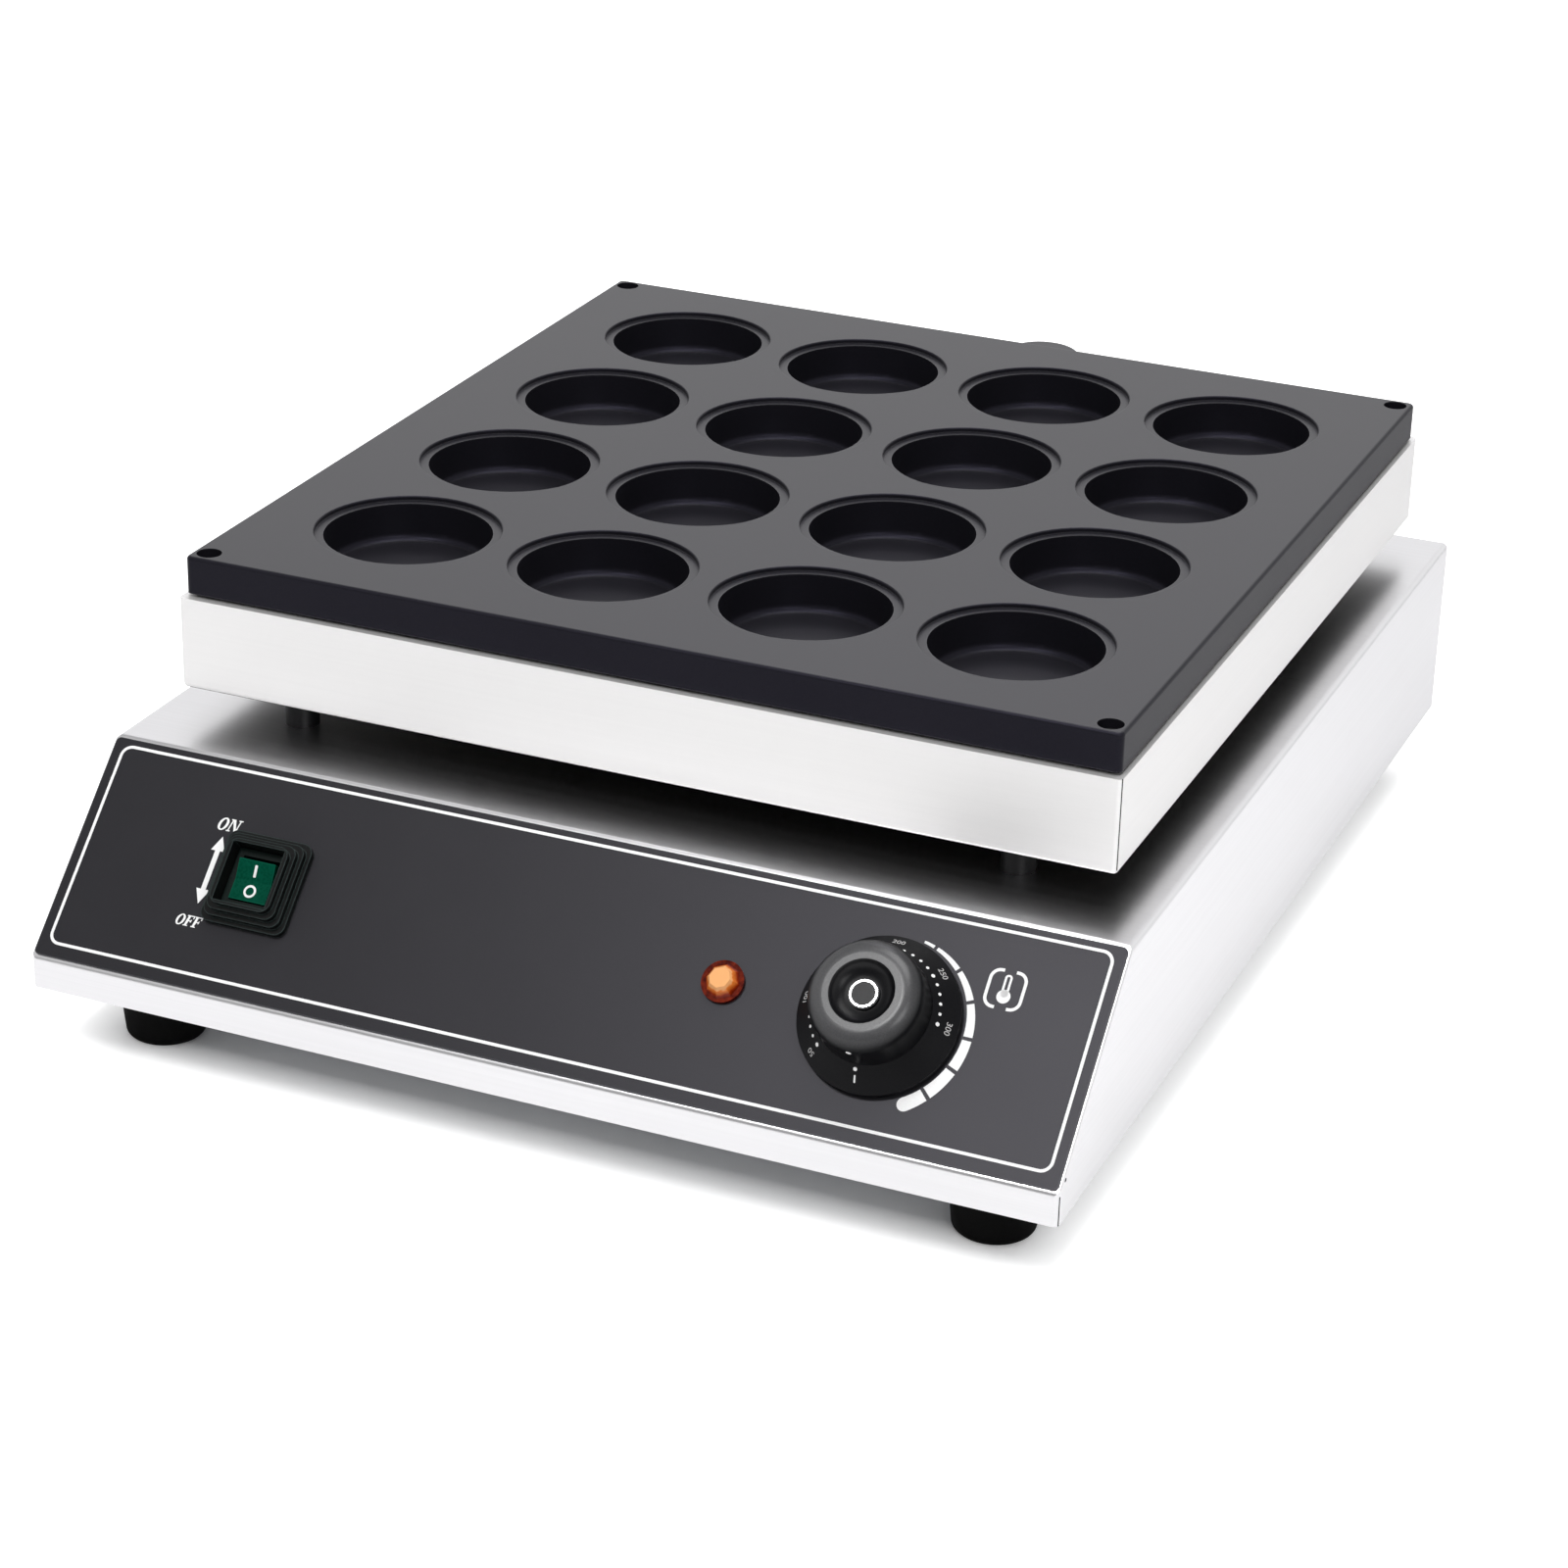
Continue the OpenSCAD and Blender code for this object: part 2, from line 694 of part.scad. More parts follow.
module foot_nuts() color(zinc) {
    at_feet() translate([0, 0, floor_z]) hex_nut(m6_d, nut_h, fit);
}

module pillar_at(x, y) color(dark) translate([x * pillar_x, y, top_z]) difference() {
    cylinder(d = pillar_d, h = stand_h);
    translate([0, 0, -1]) cylinder(d = m6_d + screw_gap, h = stand_h + 2);
}
module pillar_front_left() pillar_at(-1, pillar_front_y);
module pillar_front_right() pillar_at(1, pillar_front_y);
module pillar_rear_left() pillar_at(-1, pillar_rear_y);
module pillar_rear_right() pillar_at(1, pillar_rear_y);

module pillar_bolts() color(zinc) at_pillars() {
    low = top_z - sheet_t - nut_h - 1;
    translate([0, 0, tray_floor]) cylinder(d = m6_d * nut_ratio, h = bolt_head_h, $fn = 6);
    bore(m6_d, low, tray_floor + 1);
}

module pillar_nuts() color(zinc) at_pillars() {
    translate([0, 0, top_z - sheet_t - nut_h]) hex_nut(m6_d, nut_h, fit);
}

module heater_tray() color(steel) difference() {
    translate([0, hearth_y, tray_top]) mirror([0, 0, 1])
        round_slab(tray_w, tray_d, tray_h, tray_corner_r, tray_edge_r);
    translate([0, hearth_y, tray_z + tray_h / 2])
        cube([tray_w - 2 * sheet_t, tray_d - 2 * sheet_t, tray_h - 2 * sheet_t], center = true);
    translate([0, hearth_y, tray_top])
        cube([hearth_open_w, hearth_open_d, 4 * sheet_t], center = true);
    at_pillars() bore(m6_d + screw_gap, tray_z - 1, tray_floor + 1);
    at_conduit() bore(conduit_spigot + fit, tray_z - 1, tray_floor + 1);
    at_plate_screws() bore(m5_d + screw_gap, tray_top - 2 * sheet_t, tray_top + 1);
}

// Sheet that lines the tray's floor, cut out round the bolts and the conduit
module floor_lining(z, t) difference() {
    translate([0, hearth_y, z + t / 2])
        cube([tray_w - 2 * lining_in, tray_d - 2 * lining_in, t], center = true);
    at_pillars() bore(m6_d * nut_ratio + lining_room, z - 1, z + t + 1);
    at_conduit() bore(mat_hole_d, z - 1, z + t + 1);
}

module insulation_mat() color([0.9, 0.88, 0.8]) floor_lining(tray_floor, mat_t);

module reflector_sheet() color([0.8, 0.82, 0.84]) floor_lining(mat_top, reflector_t);

module plate_gasket() color(dark) difference() {
    translate([0, hearth_y, tray_top + gasket_t / 2])
        cube([plate_w - 2 * gasket_in, plate_d - 2 * gasket_in, gasket_t], center = true);
    translate([0, hearth_y, tray_top]) cube([hearth_open_w, hearth_open_d, 4 * gasket_t], center = true);
    at_plate_screws() bore(m5_d + screw_gap, tray_top - 1, plate_z + 1);
}

// What is cut away for one pocket, with the plate's face at zero
module pocket_cut() rotate_extrude() {
    mouth_r = mouth_d / 2;
    well_r = pocket_d / 2;
    translate([0, -mouth_depth]) square([mouth_r, mouth_depth + 1]);
    difference() {
        translate([0, -rim_r]) square([mouth_r + rim_r, rim_r + 1]);
        translate([mouth_r + rim_r, -rim_r]) circle(rim_r);
    }
    translate([0, floor_r - pocket_depth]) square([well_r, pocket_depth - floor_r]);
    translate([0, -pocket_depth]) square([well_r - floor_r, pocket_depth]);
    translate([well_r - floor_r, floor_r - pocket_depth]) circle(floor_r);
}

// Casting with a cup under each pocket, and a channel between the cups for the sensing bulb
module baking_plate() color(coat) difference() {
    union() {
        translate([0, hearth_y, plate_z]) round_slab(plate_w, plate_d, plate_t, plate_corner_r, plate_edge_r);
        difference() {
            at_pockets() bore(cup_d, cup_z, plate_z + 1);
            translate([0, hearth_y, (cup_z + plate_z) / 2 - 1])
                cube([bulb_d + 2 * fit, plate_d, plate_z - cup_z + 2], center = true);
        }
        at_clamp_screws() bore(boss_d, clamp_top, plate_z + 1);
        translate([lug_x, hearth_y + plate_d / 2 + lug_out - lug_r, plate_top - lug_drop - lug_h])
            rotate_extrude() {
                square([lug_r - lug_edge, lug_h]);
                square([lug_r, lug_h - lug_edge]);
                translate([lug_r - lug_edge, lug_h - lug_edge]) circle(lug_edge);
            }
    }
    at_pockets() translate([0, 0, plate_top]) pocket_cut();
    at_plate_screws() {
        bore(m5_d + screw_gap, plate_z - 1, plate_top + 1);
        bore(recess_d, plate_top - recess_depth, plate_top + 1);
    }
    at_clamp_screws() bore(m5_d + fit, clamp_top - 1, plate_z + clamp_bite);
    at_clip_screws() bore(m3_d + fit, plate_z - 1, plate_z + clip_bite);
}

module plate_screws() color(dark) at_plate_screws() difference() {
    seat = plate_top - recess_depth;
    union() {
        bore(cap_head_d, seat, seat + cap_head_h);
        bore(m5_d, tray_top - sheet_t - nut_h - 1, seat + 1);
    }
    translate([0, 0, seat + cap_head_h - cap_socket_depth])
        cylinder(d = cap_socket_d, h = cap_socket_depth + 1, $fn = 6);
}

module plate_nuts() color(zinc) at_plate_screws() {
    translate([0, 0, tray_top - sheet_t - nut_h]) hex_nut(m5_d, nut_h, fit);
}

// Hairpin under two columns of pockets, its legs open to the rear
module heating_element(side) color([0.35, 0.33, 0.32]) {
    bend_y = hearth_y - pocket_mid * pitch_y;
    translate([side * pitch_x, bend_y, element_z]) {
        rotate([0, 0, 180]) rotate_extrude(angle = 180) translate([pitch_x / 2, 0]) circle(d = element_d);
        for (s = [-1, 1]) translate([s * pitch_x / 2, 0, 0]) rotate([-90, 0, 0])
            cylinder(d = element_d, h = element_end_y - bend_y);
    }
}
module heating_element_left() heating_element(-1);
module heating_element_right() heating_element(1);

module at_studs() {
    for (i = [0 : pocket_n - 1])
        translate([(i - pocket_mid) * pitch_x, element_end_y, element_z]) rotate([-90, 0, 0]) children();
}

module element_insulators() color(porcelain) at_studs() difference() {
    cylinder(d = element_d, h = insulator_l);
    translate([0, 0, -1]) cylinder(d = m4_d + fit, h = insulator_l + 2);
}

module element_studs() color(zinc) at_studs() cylinder(d = m4_d, h = stud_l);

module clamp_bar(side) color(zinc) difference() {
    bar_l = pitch_x * (pocket_n - 1) + 3 * element_d;
    translate([0, hearth_y + side * pitch_y, clamp_z + clamp_t / 2])
        cube([bar_l, clamp_w, clamp_t], center = true);
    at_clamp_screws() bore(m5_d + screw_gap, clamp_z - 1, clamp_top + 1);
}
module clamp_bar_front() clamp_bar(-1);
module clamp_bar_rear() clamp_bar(1);

module clamp_screws() color(zinc) at_clamp_screws() {
    translate([0, 0, clamp_z]) screw_up(m5_d, plate_z + clamp_bite - 1 - clamp_z);
}

module thermostat_bulb() color(copper) translate([0, hearth_y - bulb_l / 2, bulb_z])
    rotate([-90, 0, 0]) cylinder(d = bulb_d, h = bulb_l);

module at_clip_screws() {
    for (s = [-1, 1]) translate([s * clip_screw_x, hearth_y, 0]) children();
}

// Saddle that holds the bulb against the casting
module bulb_clip() color(zinc) difference() {
    saddle_w = bulb_d + 2 * fit + 2 * clip_t;
    saddle_h = bulb_d + element_gap + fit + clip_t;
    union() {
        translate([0, hearth_y, plate_z - clip_t / 2]) cube([clip_w, clip_d, clip_t], center = true);
        translate([0, hearth_y, plate_z - saddle_h / 2]) cube([saddle_w, clip_d, saddle_h], center = true);
    }
    translate([0, hearth_y, bulb_z]) rotate([90, 0, 0])
        cylinder(d = bulb_d + 2 * fit, h = clip_d + 2, center = true);
    translate([0, hearth_y, bulb_z + bulb_d]) cube([bulb_d + 2 * fit, clip_d + 2, 2 * bulb_d], center = true);
    at_clip_screws() bore(m3_d + screw_gap, plate_z - clip_t - 1, plate_z + 1);
}

module clip_screws() color(zinc) at_clip_screws() {
    translate([0, 0, plate_z - clip_t]) screw_up(m3_d, clip_t + clip_bite - 1);
}

// Thin copper tube from the sensing bulb through the conduit to the thermostat
module capillary_tube() color(copper) {
    lead([
        [0, bulb_rear_y + lead_gap, bulb_z],
        [0, bulb_rear_y + 20, bulb_z],
        [0, conduit_y - 22, bulb_z - 2],
        [0, conduit_y - 4, tray_floor + 22],
        [0, conduit_y, tray_floor + 8],
        [0, conduit_y, top_z - 14],
        [4, conduit_y - 12, base_z + 42],
        [20, conduit_y - 50, base_z + 22],
        [80, hearth_y - 40, base_z + 18],
        [dial_x, tube_turn_y, tube_turn_z],
        panel_pt(dial_x, dial_v - 8, thermo_back - 12),
        panel_pt(dial_x, dial_v - 8, thermo_back - lead_gap)
    ], capillary_d, [1, 0, 0.02]);
}

module control_panel() color(black) difference() {
    on_panel(0, panel_mid, seat_gap) linear_extrude(panel_t) round_rect(panel_w, panel_len, panel_corner_r);
    control_cuts(-1, panel_t + 1);
}

// Stepped rubber collar round the rocker
module switch_guard() color(black) on_panel(-switch_x, switch_v, seat_h) difference() {
    step_h = guard_h / guard_steps;
    for (i = [0 : guard_steps - 1]) {
        share = i / (guard_steps - 1);
        translate([0, 0, i * step_h]) linear_extrude(step_h) round_rect(
            guard_w + (guard_rim_w - guard_w) * share,
            guard_d + (guard_rim_d - guard_d) * share,
            guard_corner_r
        );
    }
    translate([0, 0, -1]) linear_extrude(guard_h + 2)
        square([cavity_w + 2 * bezel_wall + 2 * fit, cavity_l + 2 * bezel_wall + 2 * fit], center = true);
}

module switch_body() color(black) on_panel(-switch_x, switch_v) difference() {
    pivot_bore = pivot_d + 2 * run_gap;
    union() {
        translate([0, 0, seat_h]) linear_extrude(bezel_h)
            square([cavity_w + 2 * bezel_wall, cavity_l + 2 * bezel_wall], center = true);
        translate([0, 0, -switch_depth]) linear_extrude(switch_depth + seat_h)
            square([cavity_w + 2 * body_wall, cavity_l + 2 * body_wall], center = true);
    }
    translate([0, 0, -switch_depth / 2]) linear_extrude(switch_depth)
        square([cavity_w, cavity_l], center = true);
    translate([0, 0, pivot_h]) rotate([0, 90, 0])
        cylinder(d = pivot_bore, h = rocker_w + 2 * pivot_out + 2 * run_gap, center = true);
}

// Rocker about its pivot, level, with two faces that dip to the middle
module level_rocker() {
    half = rocker_l / 2;
    face = rocker_top - rocker_dip / 2;
    rotate([90, 0, 90]) linear_extrude(rocker_w, center = true) polygon([
        [-half, face + rocker_dip],
        [0, face],
        [half, face + rocker_dip],
        [half, 1],
        [pivot_d, -pivot_d],
        [-pivot_d, -pivot_d],
        [-half, 1]
    ]);
    rotate([0, 90, 0]) cylinder(d = pivot_d, h = rocker_w + 2 * pivot_out, center = true);
}

module switch_rocker() color([0, 0.4, 0.24]) on_panel(-switch_x, switch_v, pivot_h)
    rotate([rocker_tilt, 0, 0]) level_rocker();

module switch_tabs() color(brass) for (s = [-1, 1])
    on_panel(-switch_x, switch_v + s * switch_tab_v, -switch_depth - seat_gap - tab_l / 2)
        cube([tab_w, tab_t, tab_l], center = true);

// Faceted lens on a round foot
module lamp_lens() color([0.95, 0.45, 0.1]) on_panel(lamp_x, lamp_v, seat_h) {
    cylinder(d = lens_d, h = lens_foot_h);
    translate([0, 0, lens_foot_h])
        cylinder(d1 = lens_low_d, d2 = lens_top_d, h = lens_h - lens_foot_h, $fn = 8);
}

module lamp_body() color(porcelain) on_panel(lamp_x, lamp_v, -lamp_depth)
    cylinder(d = lamp_d, h = lamp_depth + panel_face);

module lamp_nut() color(black) on_panel(lamp_x, lamp_v, -sheet_t - seat_gap - nut_h) difference() {
    cylinder(d = lamp_nut_d, h = nut_h, $fn = 6);
    translate([0, 0, -1]) cylinder(d = lamp_d + fit, h = nut_h + 2);
}

// Skirted dial, hollow below, with a tapered round grip and a bowl in its top
module thermostat_knob() color(black) on_panel(dial_x, dial_v, panel_face + dial_gap) rotate_extrude() {
    top = dial_h - dial_gap;
    round_z = top - grip_round;
    round_r = grip_r - (round_z - skirt_rise) * tan(grip_lean) - grip_round / cos(grip_lean);
    difference() {
        union() {
            polygon([[0, 0], [skirt_r, 0], [skirt_r, skirt_edge], [grip_r, skirt_rise], [0, skirt_rise]]);
            polygon([
                [0, 0],
                [grip_r, 0],
                [grip_r, skirt_rise],
                [round_r, round_z] + grip_round * [cos(grip_lean), sin(grip_lean)],
                [round_r, top],
                [0, top]
            ]);
            translate([round_r, round_z]) circle(grip_round);
        }
        intersection() {
            translate([0, top - dish_depth]) square([dish_r, dish_depth + 1]);
            union() {
                translate([0, top - dish_depth]) square([dish_flat_r, dish_depth + 1]);
                translate([dish_flat_r, top - dish_depth + dish_round]) circle(dish_round);
            }
        }
        translate([0, -1]) square([skirt_r - skirt_wall, skirt_edge + 1]);
        translate([0, -1]) square([(shaft_d + fit) / 2, shaft_up - dial_gap + fit + 1]);
    }
}

module knob_cap() color(dark) on_panel(dial_x, dial_v, seat_h + dial_h - dish_depth)
    cylinder(r = cap_r, h = cap_h);

module thermostat_shaft() color(zinc) on_panel(dial_x, dial_v, panel_face - shaft_in)
    cylinder(d = shaft_d, h = shaft_in + shaft_up);

module thermostat_body() color(case_grey) on_panel(dial_x, dial_v, thermo_back) difference() {
    linear_extrude(thermo_h) round_rect(thermo_w, thermo_w, thermo_corner_r);
    translate([0, 0, panel_face - shaft_in - run_gap - thermo_back])
        cylinder(d = shaft_d + 2 * run_gap, h = thermo_h);
    for (s = [-1, 1]) translate([s * thermo_screw_x, 0, thermo_h - thermo_bite])
        cylinder(d = m4_d + fit, h = thermo_bite + 1);
}
module thermostat_tabs() color(brass) for (s = [-1, 1])
    on_panel(dial_x + s * thermo_tab_x, dial_v + thermo_tab_v, thermo_back - seat_gap - tab_l / 2)
        cube([tab_w, tab_t, tab_l], center = true);

module thermostat_screws() color(zinc) for (s = [-1, 1])
    on_panel(dial_x + s * thermo_screw_x, dial_v, seat_h) {
        cylinder(d = m4_d * head_ratio, h = thermo_head_h);
        translate([0, 0, -seat_h - sheet_t - thermo_bite + 1])
            cylinder(d = m4_d, h = seat_h + sheet_t + thermo_bite);
    }

// Sleeve that takes the wires from the casing up into the tray
module wire_conduit() color(zinc) at_conduit() difference() {
    union() {
        bore(conduit_d, top_z, tray_z);
        bore(conduit_spigot, top_z - sheet_t - spigot_l, tray_floor + spigot_l);
    }
    bore(conduit_bore, top_z - sheet_t - spigot_l - 1, tray_floor + spigot_l + 1);
}

// Gland in the rear panel: barrel, outer cap and inner nut, about the cord's line
module at_gland(out) {
    translate([gland_x, panel_y + out, gland_z]) rotate([-90, 0, 0]) children();
}

module cord_gland() color(black) at_gland(0) difference() {
    union() {
        cylinder(d = gland_flange_d, h = gland_flange_t, $fn = 6);
        translate([0, 0, -gland_tail])
            cylinder(d = gland_d, h = gland_tail + gland_flange_t + gland_cap_l / 2);
    }
    translate([0, 0, -gland_tail - 1])
        cylinder(d = gland_bore, h = gland_tail + gland_flange_t + gland_cap_l + 2);
}

module gland_cap() color(black) at_gland(gland_flange_t) difference() {
    cylinder(d = gland_flange_d - 2, h = gland_cap_l);
    translate([0, 0, -1]) cylinder(d = gland_d + fit, h = gland_cap_l / 2 + fit + 1);
    translate([0, 0, -1]) cylinder(d = gland_bore, h = gland_cap_l + 2);
}

module gland_nut() color(black) at_gland(-sheet_t - nut_h) difference() {
    cylinder(d = gland_flange_d + 1, h = nut_h, $fn = 6);
    translate([0, 0, -1]) cylinder(d = gland_d + fit, h = nut_h + 2);
}

module at_block_screws() {
    for (s = [-1, 1]) translate([block_x + s * (block_w / 2 - block_screw_in), block_y, 0]) children();
}

module terminal_block() color(porcelain) difference() {
    translate([block_x, block_y, floor_z + block_h / 2]) cube([block_w, block_d, block_h], center = true);
    for (i = [-1.5 : 1 : 1.5]) translate([block_x + i * block_pole, block_y, floor_z + block_h - pole_depth])
        cylinder(d = pole_d, h = pole_depth + 1);
    at_block_screws() bore(m3_d + screw_gap, floor_z - 1, floor_z + block_h + 1);
}

module terminal_screws() color(zinc) {
    at_block_screws() translate([0, 0, floor_z + block_h]) rotate([180, 0, 0])
        screw_up(m3_d, block_h + sheet_t + 1);
    for (i = [-1.5 : 1 : 1.5]) translate([block_x + i * block_pole, block_y, floor_z + block_h - pole_depth])
        cylinder(d = pole_d - 2 * fit, h = pole_depth - 1);
}

module earth_stud() color(brass) translate([earth_x, block_y, floor_z]) {
    translate([0, 0, -sheet_t - 1]) cylinder(d = m5_d, h = sheet_t + earth_up + 1);
    cylinder(d = m5_d * nut_ratio, h = nut_h, $fn = 6);
}

// Wires: two element leads go to the terminal block and two to the thermostat
module heater_leads() color([0.75, 0.2, 0.15]) for (i = [0 : pocket_n - 1]) {
    x = (i - pocket_mid) * pitch_x;
    side = sign(x);
    outer = abs(x) > pitch_x;
    cx = side * lead_at_conduit;
    cy = conduit_y + (outer ? lead_at_conduit : -lead_at_conduit);
    drop_z = top_z - (outer ? 26 : 14);
    pole = block_x + (outer ? 1.5 : 0.5) * block_pole;
    tab_x = dial_x + (outer ? thermo_tab_x : -thermo_tab_x);
    tab_v = dial_v + thermo_tab_v;
    tab_h = thermo_back - seat_gap - tab_l;
    lead(concat(
        [
            [x, stud_end_y + lead_gap, element_z],
            [x, stud_end_y + 5, element_z],
            [x * 0.7, stud_end_y + (outer ? 10 : 5), element_z - (outer ? 7 : 2)],
            [side * (outer ? 12 : 9), conduit_y + (outer ? 16 : -2), mat_top + (outer ? 6 : 9)],
            [cx, cy, tray_floor + 9],
            [cx, cy, drop_z]
        ],
        side < 0 ? [
            [cx - 6, cy - 24, drop_z - 18],
            [pole, block_front - 24, lead_z + 8],
            [pole, block_front - 8, lead_z],
            [pole, block_front - lead_gap, lead_z]
        ] : [
            [cx + 14, cy - 36, drop_z - 10],
            [tab_x - 12, hearth_y - 60, base_z + 50],
            panel_pt(tab_x, tab_v, tab_h - 12),
            panel_pt(tab_x, tab_v, tab_h - lead_gap)
        ]
    ), lead_d, [1, 0.02, 0.01]);
}

module switch_leads() color([0.15, 0.3, 0.65]) for (s = [-1, 1]) {
    pole = block_x - (s > 0 ? 0.5 : 1.5) * block_pole;
    v = switch_v + s * switch_tab_v;
    tab_h = -switch_depth - seat_gap - tab_l;
    lead([
        panel_pt(-switch_x, v, tab_h - lead_gap),
        panel_pt(-switch_x, v, tab_h - 10),
        [-switch_x + s * lead_apart, lead_turn_y, lead_turn_z],
        [pole, hearth_y, lead_rest_z],
        [pole, block_front - lead_straight, lead_z],
        [pole, block_front - lead_gap, lead_z]
    ], lead_d, [1, 0.02, 0.1]);
}

module lamp_leads() color([0.2, 0.2, 0.22]) for (s = [-1, 1]) {
    v = lamp_v + s * lamp_lead_v;
    side_v = dial_v + s * lamp_lead_side;
    edge = dial_x - thermo_w / 2;
    lead([
        panel_pt(lamp_x, v, -lamp_depth - lead_gap),
        panel_pt(lamp_x, v, -lamp_depth - lamp_lead_out),
        panel_pt((lamp_x + edge) / 2, (v + side_v) / 2, -lamp_depth - lamp_lead_out),
        panel_pt(edge - lamp_lead_side, side_v, -thermo_h / 2),
        panel_pt(edge - lead_gap, side_v, -thermo_h / 2)
    ], lead_d, [0, 1, 0.05]);
}

module earth_lead() color([0.3, 0.55, 0.2]) {
    side = block_x + block_w / 2 + lead_gap;
    seat = earth_x - m5_d * nut_ratio / 2 - lead_gap;
    lead([
        [side, block_y, lead_z],
        [side + 4, block_y, lead_z],
        [(side + seat) / 2, block_y - 6, floor_z + nut_h],
        [seat - 4, block_y, floor_z + nut_h / 2],
        [seat, block_y, floor_z + nut_h / 2]
    ], lead_d, [0, 0.02, 1]);
}

chassis_shell();
rear_panel();
base_plate();
base_screws();
base_nuts();
foot_front_left();
foot_front_right();
foot_rear_left();
foot_rear_right();
foot_screws();
foot_nuts();
pillar_front_left();
pillar_front_right();
pillar_rear_left();
pillar_rear_right();
pillar_bolts();
pillar_nuts();
heater_tray();
insulation_mat();
reflector_sheet();
plate_gasket();
baking_plate();
plate_screws();
plate_nuts();
heating_element_left();
heating_element_right();
element_insulators();
element_studs();
clamp_bar_front();
clamp_bar_rear();
clamp_screws();
thermostat_bulb();
bulb_clip();
clip_screws();
capillary_tube();
control_panel();
switch_guard();
switch_body();
switch_rocker();
switch_tabs();
lamp_lens();
lamp_body();
lamp_nut();
thermostat_knob();
knob_cap();
thermostat_shaft();
thermostat_body();
thermostat_tabs();
thermostat_screws();
wire_conduit();
cord_gland();
gland_cap();
gland_nut();
terminal_block();
terminal_screws();
earth_stud();
heater_leads();
switch_leads();
lamp_leads();
earth_lead();
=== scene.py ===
"""Electric cake maker: the finishes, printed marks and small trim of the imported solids, in metres."""
import json
import math
import bmesh
import bpy
from mathutils import Matrix, Vector


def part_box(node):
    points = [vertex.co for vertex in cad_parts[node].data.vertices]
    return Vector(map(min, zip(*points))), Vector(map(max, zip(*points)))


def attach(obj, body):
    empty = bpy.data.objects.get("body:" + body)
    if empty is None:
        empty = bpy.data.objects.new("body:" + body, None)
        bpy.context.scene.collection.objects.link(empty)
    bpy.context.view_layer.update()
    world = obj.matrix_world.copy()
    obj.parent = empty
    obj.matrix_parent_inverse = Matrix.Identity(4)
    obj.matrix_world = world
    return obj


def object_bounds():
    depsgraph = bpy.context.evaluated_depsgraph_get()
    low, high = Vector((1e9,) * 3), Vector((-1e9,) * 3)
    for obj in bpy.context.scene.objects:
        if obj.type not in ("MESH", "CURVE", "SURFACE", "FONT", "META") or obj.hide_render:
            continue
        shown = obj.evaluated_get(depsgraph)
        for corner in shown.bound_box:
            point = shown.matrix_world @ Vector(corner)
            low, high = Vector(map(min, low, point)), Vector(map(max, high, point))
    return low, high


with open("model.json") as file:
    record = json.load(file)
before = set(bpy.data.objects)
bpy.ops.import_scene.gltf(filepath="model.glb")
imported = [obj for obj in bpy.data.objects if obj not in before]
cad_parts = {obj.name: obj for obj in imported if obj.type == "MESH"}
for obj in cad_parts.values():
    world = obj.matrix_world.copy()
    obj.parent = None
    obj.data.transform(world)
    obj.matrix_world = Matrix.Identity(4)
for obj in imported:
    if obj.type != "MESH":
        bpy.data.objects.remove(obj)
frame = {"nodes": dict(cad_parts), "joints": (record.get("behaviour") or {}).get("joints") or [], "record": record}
cad_low, cad_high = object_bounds()

MM = 0.001

# The camera, at the place the photograph was taken from
CAMERA_AT = Vector((0.56081, -1.36086, 0.72784))
CAMERA_AIM = Vector((-0.00277, -0.00115, 0.04993))
CAMERA_ROLL = math.radians(1.5174)
CAMERA_LENS = 92.121
CAMERA_REACH = 50.0
SENSOR_W = 36.0

# Light that the room itself gives off, and how what is seen of it dims overhead and on the camera's side:
# full light, dimmed light, and between which turns of the view up or to the front it dims
WORLD_LIGHT = 0.25
CEILING_DIMS = (1.0, 0.4, 0.45, 0.75)
FRONT_DIMS = (1.0, 0.3, 0.55, 0.85)

# The softboxes: place, size, power and colour, all aimed at one point of the part
WHITE = (1.0, 1.0, 1.0)
COOL = (0.93, 0.91, 1.0)
LAMP_AIM = (0.0, 0.0, 0.1)
LAMPS = {
    "front softbox": ((-0.28, -1.24, 1.82), 0.45, 14.0, WHITE),
    "right softbox": ((1.25, -1.5, 1.3), 0.8, 10.0, WHITE),
    "back softbox": ((-0.5, 1.6, 2.3), 1.0, 8.0, COOL),
    "top softbox": ((0.25, -0.05, 2.1), 1.2, 24.0, WHITE),
}

# The floor just under the feet, and the light that it gives off where it is seen and where it is mirrored
FLOOR_HALF = 6.0
FLOOR_BOTTOM = -20.0 * MM
FLOOR_TOP = -0.2 * MM
FLOOR_WHITE = (0.93, 0.93, 0.93, 1.0)
FLOOR_GLOW = 0.8
FLOOR_MIRRORED = 0.06

# The shadow under the casing: how far inside its edge it starts to fade, and over what length
SHADOW_IN = 32.0 * MM
SHADOW_FADE = 33.0 * MM

# The sloped control panel, read from the dial's own axis
JOINTS = {joint["name"]: joint for joint in frame["joints"]}
ACROSS = Vector((1.0, 0.0, 0.0))
PANEL_OUT = Vector(JOINTS["dial_turn"]["axis"]).normalized()
UP_SLOPE = PANEL_OUT.cross(ACROSS)
PANEL_TURN = Matrix((ACROSS, UP_SLOPE, PANEL_OUT)).transposed().to_4x4()
DIAL_AT = Vector(JOINTS["dial_turn"]["pos_m"])
ROCKER_AT = Vector(JOINTS["rocker_tilt"]["pos_m"])
DIAL_GAP = 1.0 * MM
DIAL_V = 47.2 * MM
PANEL_EDGE = DIAL_AT - ACROSS * DIAL_AT.x - UP_SLOPE * DIAL_V - PANEL_OUT * DIAL_GAP

# Ink lies this thick on what it is printed on
INK_LIFT = 0.02 * MM
INK_T = 0.06 * MM

